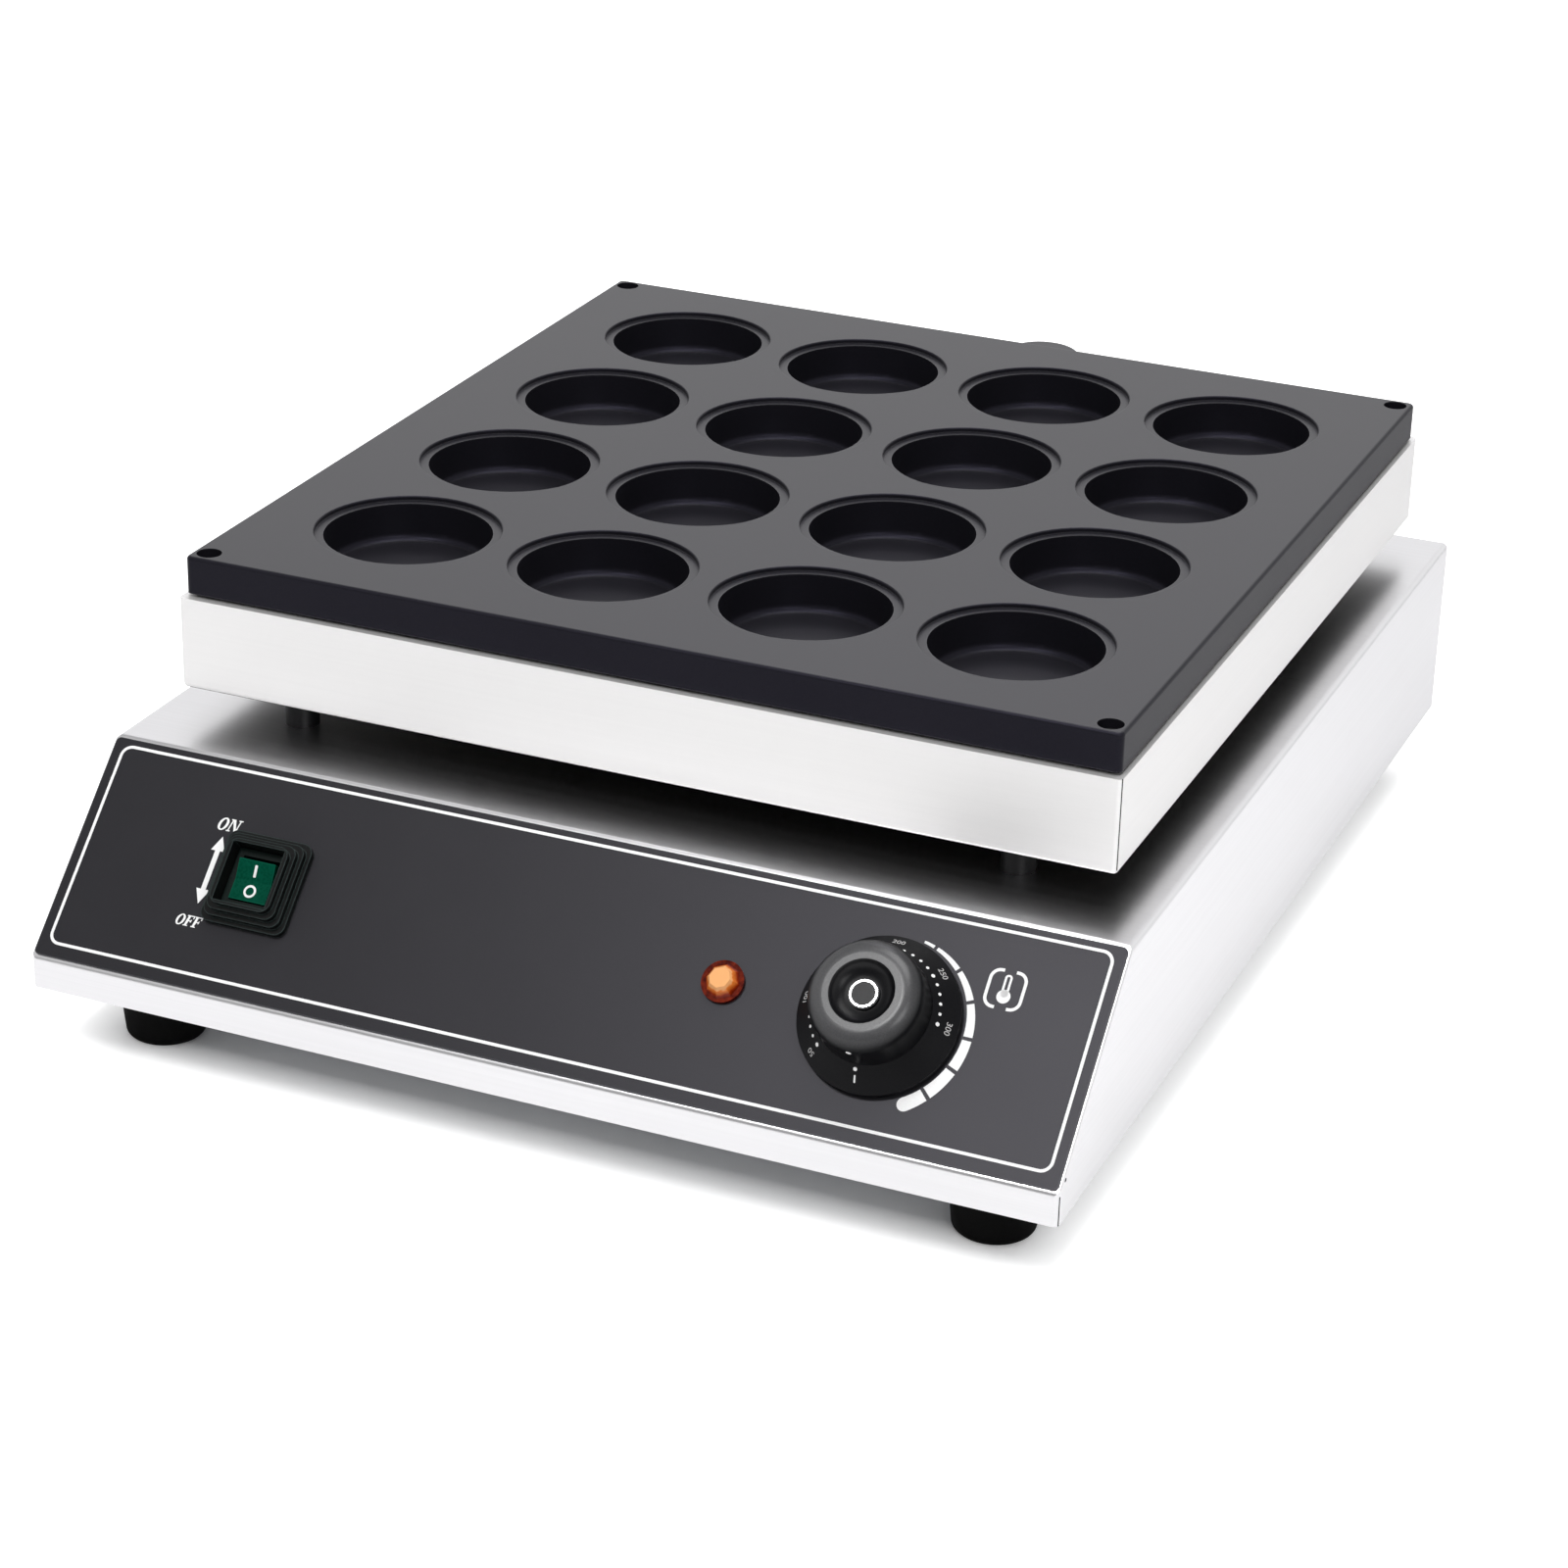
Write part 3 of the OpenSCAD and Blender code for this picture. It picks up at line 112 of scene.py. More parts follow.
# The white line round the panel
BORDER_W = 395.3 * MM
BORDER_H = 82.0 * MM
BORDER_V = 47.25 * MM
BORDER_R = 4.6 * MM
BORDER_LINE = 1.15 * MM

# The growing scale beside the dial, its ends and gaps in degrees
WEDGE_IN_R = 30.7 * MM
WEDGE_THIN = 0.9 * MM
WEDGE_THICK = 5.2 * MM
WEDGE_ENDS = (78.0, 68.0, 45.6, 22.7, -1.2, -22.6, -44.2, -59.5)
WEDGE_GAP = 2.4
WEDGE_STEPS = 10

# Marks beside the switch
ARROW_X = -144.0 * MM
ARROW_LOW = 33.6 * MM
ARROW_HIGH = 60.8 * MM
ARROW_HEAD_L = 5.8 * MM
ARROW_HEAD_W = 5.6 * MM
ARROW_LINE = 2.0 * MM
ON_AT = (-143.2 * MM, 65.7 * MM)
OFF_AT = (-145.1 * MM, 26.4 * MM)
ON_H = 5.0 * MM
OFF_H = 4.3 * MM
LETTER_SLANT = 0.22

# The thermometer sign; the hollow of its stem in parts of the stem
SIGN_AT = (163.3 * MM, 66.7 * MM)
SIGN_W = 12.9 * MM
SIGN_H = 13.7 * MM
SIGN_R = 3.4 * MM
SIGN_LINE = 1.15 * MM
SIGN_BREAK = 2.2 * MM
SIGN_STEPS = 6
BULB_R = 2.5 * MM
BULB_DROP = 2.6 * MM
STEM_W = 2.7 * MM
STEM_H = 8.4 * MM
STEM_RISE = 1.3 * MM
STEM_ROUND = 0.45
HOLLOW_W = 0.4
HOLLOW_H = 0.6
HOLLOW_ROUND = 0.18
HOLLOW_RISE = 0.12

# The dial's skirt: a cone from its rim to the foot of the grip
SKIRT_R = 29.4 * MM
SKIRT_EDGE = 2.0 * MM
SKIRT_RISE = 9.4 * MM

# The dial's grip, and the bowl in its crown
GRIP_R = 21.0 * MM
GRIP_LEAN = math.radians(2.0)
CROWN_LOW = 22.3 * MM
CROWN_HIGH = 27.2 * MM
BOWL_R = 11.8 * MM
BOWL_LIP = 0.5 * MM

# Marks of the dial; the numbers' first angle and step in degrees
NUMBERS = ("50", "100", "150", "200", "250", "300")
NUMBER_R = 26.4 * MM
NUMBER_H = 3.2 * MM
NUMBER_FROM = 44.2
NUMBER_STEP = 45.3
NUMBER_WELD = 0.001 * MM
DOTS_PER_NUMBER = 5
DOT_AT_R = 23.25 * MM
DOT_R = 0.6 * MM
NUMBER_DOT_R = 0.75 * MM
POINTER_DOT_AT_R = 22.4 * MM
POINTER_DOT_R = 0.75 * MM
TICK_AT_R = 25.2 * MM
TICK_W = 0.6 * MM
TICK_L = 3.0 * MM
TICK_ROUND = 0.28 * MM
GRIP_DOT_UP = 19.9 * MM
GRIP_DOT_R = 1.0 * MM

# The bright ring on the dial's cap
CAP_H = 1.2 * MM
CAP_RING_R = 5.1 * MM
CAP_RING_LINE = 0.8 * MM
CAP_RING_UP = 0.25 * MM
CAP_RING_STEPS = 64
CAP_RING_SMOOTH = 40.0

# The rocker's two faces and their marks
ROCKER_L = 15.4 * MM
ROCKER_TOP = 5.0 * MM
ROCKER_TILT = math.radians(9.0)
ROCKER_BAR = (1.1 * MM, 4.6 * MM, 0.3 * MM)
ROCKER_RING_R = 2.5 * MM
ROCKER_RING_IN_R = 1.6 * MM

# Folded corners of the sheet; the seam's turn from the front in degrees
BEND_R = 2.4 * MM
LIP_TOP = 39.0 * MM
TRAY_CORNER_R = 2.0 * MM
TRAY_EDGE_R = 1.6 * MM
SEAM_W = 0.5 * MM
SEAM_UP = 0.02 * MM
SEAM_TURN = 62.0
NOTCH_AT = (-239.4 * MM, 43.4 * MM)
NOTCH_R = 0.8 * MM

# The pilot lamp
LAMP_AT = (63.5 * MM, 47.4 * MM)
LENS_H = 5.5 * MM


def on_slope(spot):
    """Axes across, up the slope and out of the panel, at a spot."""
    return Matrix.Translation(spot) @ PANEL_TURN


def panel_frame(x, v):
    """The same axes at a place on the panel's face: across, and up from its lower edge."""
    return on_slope(PANEL_EDGE + ACROSS * x + UP_SLOPE * v)


# Outlines, as lists of flat points


def arc(cx, cy, r, start, end, steps=8):
    """Points of an arc between two angles in degrees."""
    angles = [math.radians(start + (end - start) * i / steps) for i in range(steps + 1)]
    return [(cx + r * math.cos(a), cy + r * math.sin(a)) for a in angles]


def at_angle(r, angle):
    """Point at that radius and angle in degrees."""
    turn = math.radians(angle)
    return r * math.cos(turn), r * math.sin(turn)


def rounded(w, h, r, steps=8):
    """Rectangle about the centre with round corners."""
    x, y = w / 2 - r, h / 2 - r
    corners = ((x, y, 0), (-x, y, 90), (-x, -y, 180), (x, -y, 270))
    return [p for cx, cy, a in corners for p in arc(cx, cy, r, a, a + 90, steps)]


def oval(rx, ry, steps=32):
    """Ellipse about the centre."""
    angles = [math.tau * i / steps for i in range(steps)]
    return [(rx * math.cos(a), ry * math.sin(a)) for a in angles]


def disc(r, steps=32):
    """Circle about the centre."""
    return oval(r, r, steps)


def shifted(points, dx, dy, slant=0.0):
    """Points moved, and leaned to the right for a slant."""
    return [(x + dx + y * slant, y + dy) for x, y in points]


def stroke(points, width):
    """Outline of a line of even width along an open path."""
    left, right = [], []
    for i, (x, y) in enumerate(points):
        x0, y0 = points[max(i - 1, 0)]
        x1, y1 = points[min(i + 1, len(points) - 1)]
        run = math.hypot(x1 - x0, y1 - y0)
        nx, ny = (y0 - y1) / run * width / 2, (x1 - x0) / run * width / 2
        left.append((x + nx, y + ny))
        right.append((x - nx, y - ny))
    return right + left[::-1]


# Solid building


def add_plate(bm, outline, low, high, place=Matrix.Identity(4)):
    """Closed flat plate with that outline."""
    bottom = [bm.verts.new(place @ Vector((x, y, low))) for x, y in outline]
    top = [bm.verts.new(place @ Vector((x, y, high))) for x, y in outline]
    bm.faces.new(list(reversed(bottom)))
    bm.faces.new(top)
    for i in range(len(outline)):
        j = (i + 1) % len(outline)
        bm.faces.new((bottom[i], bottom[j], top[j], top[i]))


def add_ring(bm, outer, inner, low, high, place):
    """Closed flat ring between two outlines of the same number of points."""
    loops = []
    for outline in (outer, inner):
        for z in (low, high):
            loops.append([bm.verts.new(place @ Vector((x, y, z))) for x, y in outline])
    outer_low, outer_high, inner_low, inner_high = loops
    for i in range(len(outer)):
        j = (i + 1) % len(outer)
        bm.faces.new((outer_high[i], outer_high[j], inner_high[j], inner_high[i]))
        bm.faces.new((outer_low[j], outer_low[i], inner_low[i], inner_low[j]))
        bm.faces.new((outer_low[i], outer_low[j], outer_high[j], outer_high[i]))
        bm.faces.new((inner_low[j], inner_low[i], inner_high[i], inner_high[j]))


def ink_plate(bm, outline, place):
    add_plate(bm, outline, INK_LIFT, INK_LIFT + INK_T, place)


def ink_ring(bm, outer, inner, place):
    add_ring(bm, outer, inner, INK_LIFT, INK_LIFT + INK_T, place)


def piece(name, bm, body, material, smooth_below=None):
    """Finished mesh piece that rides on a body, smooth below that angle in degrees."""
    bmesh.ops.recalc_face_normals(bm, faces=bm.faces)
    mesh = bpy.data.meshes.new(name)
    bm.to_mesh(mesh)
    bm.free()
    if smooth_below is not None:
        mesh.shade_smooth()
        mesh.set_sharp_from_angle(angle=math.radians(smooth_below))
    obj = bpy.data.objects.new(name, mesh)
    bpy.context.collection.objects.link(obj)
    obj.data.materials.append(material)
    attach(obj, body)


# Shader helpers


class Shader:
    """A node tree with short calls for its nodes and links."""

    def __init__(self, tree):
        self.tree = tree

    def node(self, kind, **settings):
        made = self.tree.nodes.new(kind)
        for name, value in settings.items():
            setattr(made, name, value)
        return made

    def link(self, source, target):
        self.tree.links.new(source, target)

    def feed(self, target, value):
        """Gives a socket a link or a plain value."""
        if isinstance(value, bpy.types.NodeSocket):
            self.link(value, target)
        else:
            target.default_value = value

    def math(self, operation, a, b=0.0, clamp=False):
        made = self.node("ShaderNodeMath", operation=operation, use_clamp=clamp)
        self.feed(made.inputs[0], a)
        self.feed(made.inputs[1], b)
        return made.outputs[0]

    def vector(self, operation, a, b=(0.0, 0.0, 0.0)):
        made = self.node("ShaderNodeVectorMath", operation=operation)
        self.feed(made.inputs[0], a)
        self.feed(made.inputs[1], b)
        return made.outputs["Value" if operation in ("DOT_PRODUCT", "LENGTH") else "Vector"]

    def span(self, value, low, high, start=0.0, end=1.0):
        """Value between a start and an end, spread between two numbers."""
        made = self.node("ShaderNodeMapRange")
        self.feed(made.inputs["Value"], value)
        made.inputs["From Min"].default_value = start
        made.inputs["From Max"].default_value = end
        made.inputs["To Min"].default_value = low
        made.inputs["To Max"].default_value = high
        return made.outputs["Result"]

    def mix(self, factor, a, b, data_type="RGBA"):
        """Colour, or number, between two by a factor."""
        made = self.node("ShaderNodeMix", data_type=data_type)
        self.link(factor, made.inputs["Factor"])
        self.feed(made.inputs["A"], a)
        self.feed(made.inputs["B"], b)
        return made.outputs["Result"]

    def layered(self, fine, slow, fine_share):
        """Sum of a fine and a slow pattern, the fine one with that share."""
        fine_part = self.math("MULTIPLY", fine, fine_share)
        slow_part = self.math("MULTIPLY", slow, 1.0 - fine_share)
        return self.math("ADD", fine_part, slow_part)

    def ramp(self, value, *stops):
        """Colours along a value: (place, red, green, blue) for each stop."""
        made = self.node("ShaderNodeValToRGB")
        self.feed(made.inputs["Fac"], value)
        elements = made.color_ramp.elements
        while len(elements) < len(stops):
            elements.new(1.0)
        for element, (place, *colour) in zip(elements, stops):
            element.position = place
            element.color = (*colour, 1.0)
        return made.outputs["Color"]

    def shades(self, value, ends, dark, light):
        """Colours from dark to light between two ends of a value."""
        return self.ramp(value, (ends[0], *dark), (ends[1], *light))

    def noise(self, vector, scale, detail=2.0, roughness=0.5):
        made = self.node("ShaderNodeTexNoise")
        self.link(vector, made.inputs["Vector"])
        self.feed(made.inputs["Scale"], scale)
        made.inputs["Detail"].default_value = detail
        made.inputs["Roughness"].default_value = roughness
        return made.outputs["Fac"]

    def cells(self, vector, scale):
        made = self.node("ShaderNodeTexVoronoi")
        self.link(vector, made.inputs["Vector"])
        self.feed(made.inputs["Scale"], scale)
        return made.outputs

    def place(self):
        return self.node("ShaderNodeTexCoord").outputs["Object"]

    def normal(self):
        return self.node("ShaderNodeNewGeometry").outputs["Normal"]

    def facing(self, axis):
        """How far a face turns toward an axis, from -1 to 1."""
        split = self.node("ShaderNodeSeparateXYZ")
        self.link(self.normal(), split.inputs[0])
        return split.outputs[axis]

    def bump(self, height, strength, distance):
        made = self.node("ShaderNodeBump")
        self.link(height, made.inputs["Height"])
        made.inputs["Strength"].default_value = strength
        made.inputs["Distance"].default_value = distance
        return made.outputs["Normal"]

    def effect(self, group, **values):
        """Places a shared effect with this material's own values."""
        made = self.node("ShaderNodeGroup")
        made.node_tree = group
        for name, value in values.items():
            self.feed(made.inputs[name.title()], value)
        return made.outputs


def effect_group(name, inputs, outputs):
    """Empty shader group with named number sockets."""
    tree = bpy.data.node_groups.new(name, "ShaderNodeTree")
    for label, value in inputs.items():
        socket = tree.interface.new_socket(label, in_out="INPUT", socket_type="NodeSocketFloat")
        socket.default_value = value
    for label in outputs:
        tree.interface.new_socket(label, in_out="OUTPUT", socket_type="NodeSocketFloat")
    shader = Shader(tree)
    return shader, shader.node("NodeGroupInput").outputs, shader.node("NodeGroupOutput").inputs


# Effects that several finishes share

# Brushed sheet: lines to the metre across and along them, how deep they are, and when a face counts as a side
BRUSH_DENSITY = 900.0
BRUSH_STRETCH = 5.0
BRUSH_DEPTH = (0.03, 0.2 * MM)
BRUSH_SIDE = 0.7
BRUSH_CLOUDS = 7.0
BRUSH_SHARE = 0.6
BRUSH_ENDS = (0.3, 0.7)

# Moulded faces: pebbles to the metre, their contrast and depth, and the blotches under them
PEBBLES = 1500.0
PEBBLE_GAIN = 0.6
PEBBLE_DEPTH = 0.1 * MM
PEBBLE_BLOTCHES = 18.0
PEBBLE_SHARE = 0.5
PEBBLE_ENDS = (0.25, 0.75)

# Painted edge highlights: their width and how fast the edges turn pale
EDGE_W = 0.7 * MM
EDGE_GAIN = 5.0
EDGE_SAMPLES = 4


def brushed_lines():
    """Fine lines along the sheet, level on every face, with slow cloudy tone under them."""
    inputs = {"Density": BRUSH_DENSITY, "Stretch": BRUSH_STRETCH}
    s, given, made = effect_group("brushed_lines", inputs, ("Lines", "Clouds"))
    place = s.place()
    runs = []
    for along, across in (("X", "Y"), ("Y", "X")):
        scale = s.node("ShaderNodeCombineXYZ")
        s.link(given["Stretch"], scale.inputs[along])
        s.link(given["Density"], scale.inputs[across])
        s.link(given["Density"], scale.inputs["Z"])
        stretched = s.vector("MULTIPLY", place, scale.outputs[0])
        runs.append(s.noise(stretched, scale=1.0, detail=3.0, roughness=0.6))
    sideways = s.math("GREATER_THAN", s.math("ABSOLUTE", s.facing("X")), BRUSH_SIDE)
    s.link(s.mix(sideways, *runs, data_type="FLOAT"), made["Lines"])
    s.link(s.noise(place, BRUSH_CLOUDS, detail=3.0), made["Clouds"])
    return s.tree


def moulded_grain():
    """Fine pebble of moulded, painted and rubber faces, with slow blotches."""
    s, given, made = effect_group("moulded_grain", {"Size": PEBBLES}, ("Grain", "Blotch"))
    place = s.place()
    pebble = s.cells(place, given["Size"])["Distance"]
    speckle = s.noise(place, given["Size"])
    s.link(s.math("MULTIPLY", s.math("ADD", pebble, speckle), PEBBLE_GAIN, clamp=True), made["Grain"])
    s.link(s.noise(place, PEBBLE_BLOTCHES, detail=4.0, roughness=0.6), made["Blotch"])
    return s.tree


def painted_edge_highlight():
    """Mask of the edges that get a pale painted highlight, standing in for the light they catch."""
    s, given, made = effect_group("painted_edge_highlight", {"Width": EDGE_W}, ("Edge",))
    round_off = s.node("ShaderNodeBevel", samples=EDGE_SAMPLES)
    s.link(given["Width"], round_off.inputs["Radius"])
    agree = s.vector("DOT_PRODUCT", round_off.outputs["Normal"], s.normal())
    turn = s.math("SUBTRACT", 1.0, agree, clamp=True)
    s.link(s.math("MULTIPLY", turn, EDGE_GAIN, clamp=True), made["Edge"])
    return s.tree


BRUSHED = brushed_lines()
MOULDED = moulded_grain()
EDGES = painted_edge_highlight()


def brushed_tone(s, density=BRUSH_DENSITY):
    """Lines of a brushed face, and the tone that they make with its clouds."""
    lines = s.effect(BRUSHED, density=density, stretch=BRUSH_STRETCH)
    return lines["Lines"], s.layered(lines["Lines"], lines["Clouds"], BRUSH_SHARE)


def pebbled_tone(s, size):
    """Grain of a moulded face, and the tone that it makes with its blotches."""
    grain = s.effect(MOULDED, size=size)
    return grain["Grain"], s.layered(grain["Grain"], grain["Blotch"], PEBBLE_SHARE)


# Finishes


def surface_of(material):
    """Shader helper of a material and its surface's sockets."""
    return Shader(material.node_tree), material.node_tree.nodes["Principled BSDF"].inputs


def finish_of(name):
    """New material, with its shader helper and its surface's sockets."""
    material = bpy.data.materials.new(name)
    material.use_nodes = True
    return material, *surface_of(material)


def steel_finish(name, dark, light, rough, density=BRUSH_DENSITY):
    """Bare sheet or turned metal with brushed lines."""
    material, s, surface = finish_of(name)
    surface["Metallic"].default_value = 1.0
    lines, tone = brushed_tone(s, density)
    s.link(s.shades(tone, BRUSH_ENDS, dark, light), surface["Base Color"])
    s.link(s.span(tone, *rough), surface["Roughness"])
    s.link(s.bump(lines, *BRUSH_DEPTH), surface["Normal"])
    return material


def moulded_finish(name, dark, light, rough, size=PEBBLES, bump=0.15, edge=None, gloss=0.5, tint=WHITE):
    """Moulded, painted or rubber face with a fine pebble, and a pale painted highlight on its edges where given.
    """
    material, s, surface = finish_of(name)
    grain, tone = pebbled_tone(s, size)
    colour = s.shades(tone, PEBBLE_ENDS, dark, light)
    # The edge colour is a painted highlight laid along the edges.
    if edge:
        colour = s.mix(s.effect(EDGES, width=EDGE_W)["Edge"], colour, (*edge, 1.0))
    s.link(colour, surface["Base Color"])
    s.link(s.span(tone, *rough), surface["Roughness"])
    s.link(s.bump(grain, strength=bump, distance=PEBBLE_DEPTH), surface["Normal"])
    surface["Specular IOR Level"].default_value = gloss
    surface["Specular Tint"].default_value = (*tint, 1.0)
    return material


# The tray's bright sheet, and its underside painted near black as shade: the faces that turn down further than
# this
TRAY_DARK = (0.90, 0.893, 0.89)
TRAY_LIGHT = (0.925, 0.918, 0.913)
TRAY_METAL = 0.8
TRAY_ROUGH = 0.47
UNDERSIDE_SHADE_DARK = (0.008, 0.007, 0.007)
UNDERSIDE_SHADE_LIGHT = (0.018, 0.017, 0.016)
UNDERSIDE_ROUGH = 0.85
UNDERSIDE_TURN = -0.7


def tray_finish():
    """Stainless sheet whose underside is dull and painted dark as shade."""
    material, s, surface = finish_of("heater tray stainless")
    lines, tone = brushed_tone(s)
    # Faces that turn down take the near-black painted shade.
    bright = s.math("GREATER_THAN", s.facing("Z"), UNDERSIDE_TURN)
    under = s.shades(tone, BRUSH_ENDS, UNDERSIDE_SHADE_DARK, UNDERSIDE_SHADE_LIGHT)
    sheet = s.shades(tone, BRUSH_ENDS, TRAY_DARK, TRAY_LIGHT)
    s.link(s.mix(bright, under, sheet), surface["Base Color"])
    s.link(s.math("MULTIPLY", bright, TRAY_METAL), surface["Metallic"])
    s.link(s.span(bright, UNDERSIDE_ROUGH, TRAY_ROUGH), surface["Roughness"])
    s.link(s.bump(lines, *BRUSH_DEPTH), surface["Normal"])
    surface["Specular IOR Level"].default_value = 0.1
    return material


def zinc_finish():
    """Plated steel with the faint leaf pattern of its coat."""
    material, s, surface = finish_of("zinc plated steel")
    surface["Metallic"].default_value = 1.0
    split = s.node("ShaderNodeSeparateColor")
    s.link(s.cells(s.place(), scale=220.0)["Color"], split.inputs["Color"])
    leaf = split.outputs["Red"]
    s.link(s.shades(leaf, (0.0, 1.0), (0.52, 0.53, 0.55), (0.66, 0.67, 0.69)), surface["Base Color"])
    s.link(s.span(leaf, 0.32, 0.48), surface["Roughness"])
    return material


def element_finish():
    """Heater sheath, heat darkened with brown and blue patches."""
    material, s, surface = finish_of("heat darkened sheath")
    surface["Metallic"].default_value = 0.8
    patches = s.noise(s.place(), scale=26.0, detail=4.0)
    colours = ((0.25, 0.07, 0.055, 0.05), (0.5, 0.16, 0.13, 0.11), (0.75, 0.11, 0.11, 0.14))
    s.link(s.ramp(patches, *colours), surface["Base Color"])
    s.link(s.span(patches, 0.45, 0.7), surface["Roughness"])
    return material


def felt_finish():
    """Insulating felt with loose fibres."""
    material, s, surface = finish_of("insulating felt")
    matted = s.vector("MULTIPLY", s.place(), (300.0, 1500.0, 700.0))
    fibres = s.noise(matted, scale=1.0, detail=4.0, roughness=0.7)
    s.link(s.shades(fibres, (0.3, 0.7), (0.42, 0.40, 0.35), (0.66, 0.64, 0.57)), surface["Base Color"])
    surface["Roughness"].default_value = 0.95
    s.link(s.bump(fibres, strength=0.5, distance=0.6 * MM), surface["Normal"])
    return material


def foil_finish():
    """Bright reflector with the slight waves of thin sheet."""
    material, s, surface = finish_of("bright reflector sheet")
    surface["Metallic"].default_value = 1.0
    waves = s.noise(s.place(), scale=40.0, detail=3.0)
    s.link(s.shades(waves, (0.3, 0.7), (0.74, 0.75, 0.76), (0.84, 0.84, 0.85)), surface["Base Color"])
    s.link(s.span(waves, 0.14, 0.28), surface["Roughness"])
    s.link(s.bump(waves, strength=0.3, distance=1.0 * MM), surface["Normal"])
    return material


# The lens's colours from its foot to its top: amber, with painted shade deepening it to red at the foot and a
# painted highlight paling it at the top
LENS_PAINTED_LIGHT_STOPS = (
    (0.42, 0.050, 0.002, 0.0005),
    (0.64, 0.26, 0.022, 0.002),
    (0.90, 0.72, 0.19, 0.03),
    (1.0, 0.86, 0.42, 0.17),
)
LENS_SWIRL = 0.35


def lens_finish():
    """Amber lens, painted deep red at its foot as shade and pale at its top as a highlight, with a faint swirl."""
    material, s, surface = finish_of("amber lens")
    from_foot = s.vector("SUBTRACT", s.place(), tuple(panel_frame(*LAMP_AT).translation))
    up = s.vector("DOT_PRODUCT", from_foot, tuple(PANEL_OUT))
    swirl = s.noise(s.place(), scale=420.0)
    # Height above the foot picks the colour: low is painted shade, high is painted highlight.
    shade_to_highlight = s.math("ADD", s.math("DIVIDE", up, LENS_H), s.math("MULTIPLY", swirl, LENS_SWIRL))
    s.link(s.ramp(shade_to_highlight, *LENS_PAINTED_LIGHT_STOPS), surface["Base Color"])
    s.link(s.span(swirl, 0.06, 0.16), surface["Roughness"])
    surface["Specular IOR Level"].default_value = 0.1
    surface["Coat Weight"].default_value = 0.25
    surface["Coat Roughness"].default_value = 0.04
    return material


# The dial's moulding, and the grey painted highlight on its crown
DIAL_DARK = (0.002, 0.002, 0.003)
DIAL_LIGHT = (0.006, 0.006, 0.007)
CROWN_HIGHLIGHT_DARK = (0.062, 0.062, 0.065)
CROWN_HIGHLIGHT_LIGHT = (0.092, 0.092, 0.096)
CROWN_SHINE = 0.8


def dial_finish():
    """Satin black moulding, painted grey on the crown round its bowl as a highlight, with a shinier coat there."""
    material, s, surface = finish_of("satin dial plastic")
    from_foot = s.vector("SUBTRACT", s.place(), tuple(DIAL_AT))
    up = s.vector("DOT_PRODUCT", from_foot, tuple(PANEL_OUT))
    off_axis = s.vector("LENGTH", s.vector("CROSS_PRODUCT", from_foot, tuple(PANEL_OUT)))
    # The crown's grey outside the bowl is a painted highlight, standing in for the top light it catches; the coat
    # grows over the same rise.
    shiny = s.span(up, 0.0, 1.0, CROWN_LOW, CROWN_HIGH)
    crown = s.math("MULTIPLY", shiny, s.span(off_axis, 0.0, 1.0, BOWL_R - BOWL_LIP, BOWL_R + BOWL_LIP))
    grain, tone = pebbled_tone(s, size=1800.0)
    plain = s.shades(tone, PEBBLE_ENDS, DIAL_DARK, DIAL_LIGHT)
    painted_crown_highlight = s.shades(tone, PEBBLE_ENDS, CROWN_HIGHLIGHT_DARK, CROWN_HIGHLIGHT_LIGHT)
    s.link(s.mix(crown, plain, painted_crown_highlight), surface["Base Color"])
    s.link(s.span(tone, 0.30, 0.38), surface["Roughness"])
    s.link(s.bump(grain, strength=0.06, distance=PEBBLE_DEPTH), surface["Normal"])
    s.link(s.math("MULTIPLY", shiny, CROWN_SHINE), surface["Coat Weight"])
    surface["Coat Roughness"].default_value = 0.27
    surface["Specular IOR Level"].default_value = 0.1
    return material


# Painted highlights on the edges of black coats, and the tint of the plate's shine
BLACK_EDGE_HIGHLIGHT = (0.06, 0.06, 0.065)
BLUISH = (0.72, 0.68, 1.0)

# The plate's shine on what faces up: none, all of it, and the turns of a face between which it grows
PLATE_SHINE = (0.0, 0.56, 0.8, 1.0)


def plate_finish():
    """Satin black coat, smoother on what faces up than on the sides."""
    material = moulded_finish(
        "satin black coat",
        (0.0055, 0.0053, 0.0072),
        (0.0100, 0.0096, 0.0125),
        (0.35, 0.44),
        size=2200.0,
        bump=0.10,
        edge=BLACK_EDGE_HIGHLIGHT,
        gloss=0.15,
        tint=BLUISH,
    )
    s, surface = surface_of(material)
    s.link(s.span(s.facing("Z"), *PLATE_SHINE), surface["Coat Weight"])
    surface["Coat Roughness"].default_value = 0.38
    return material


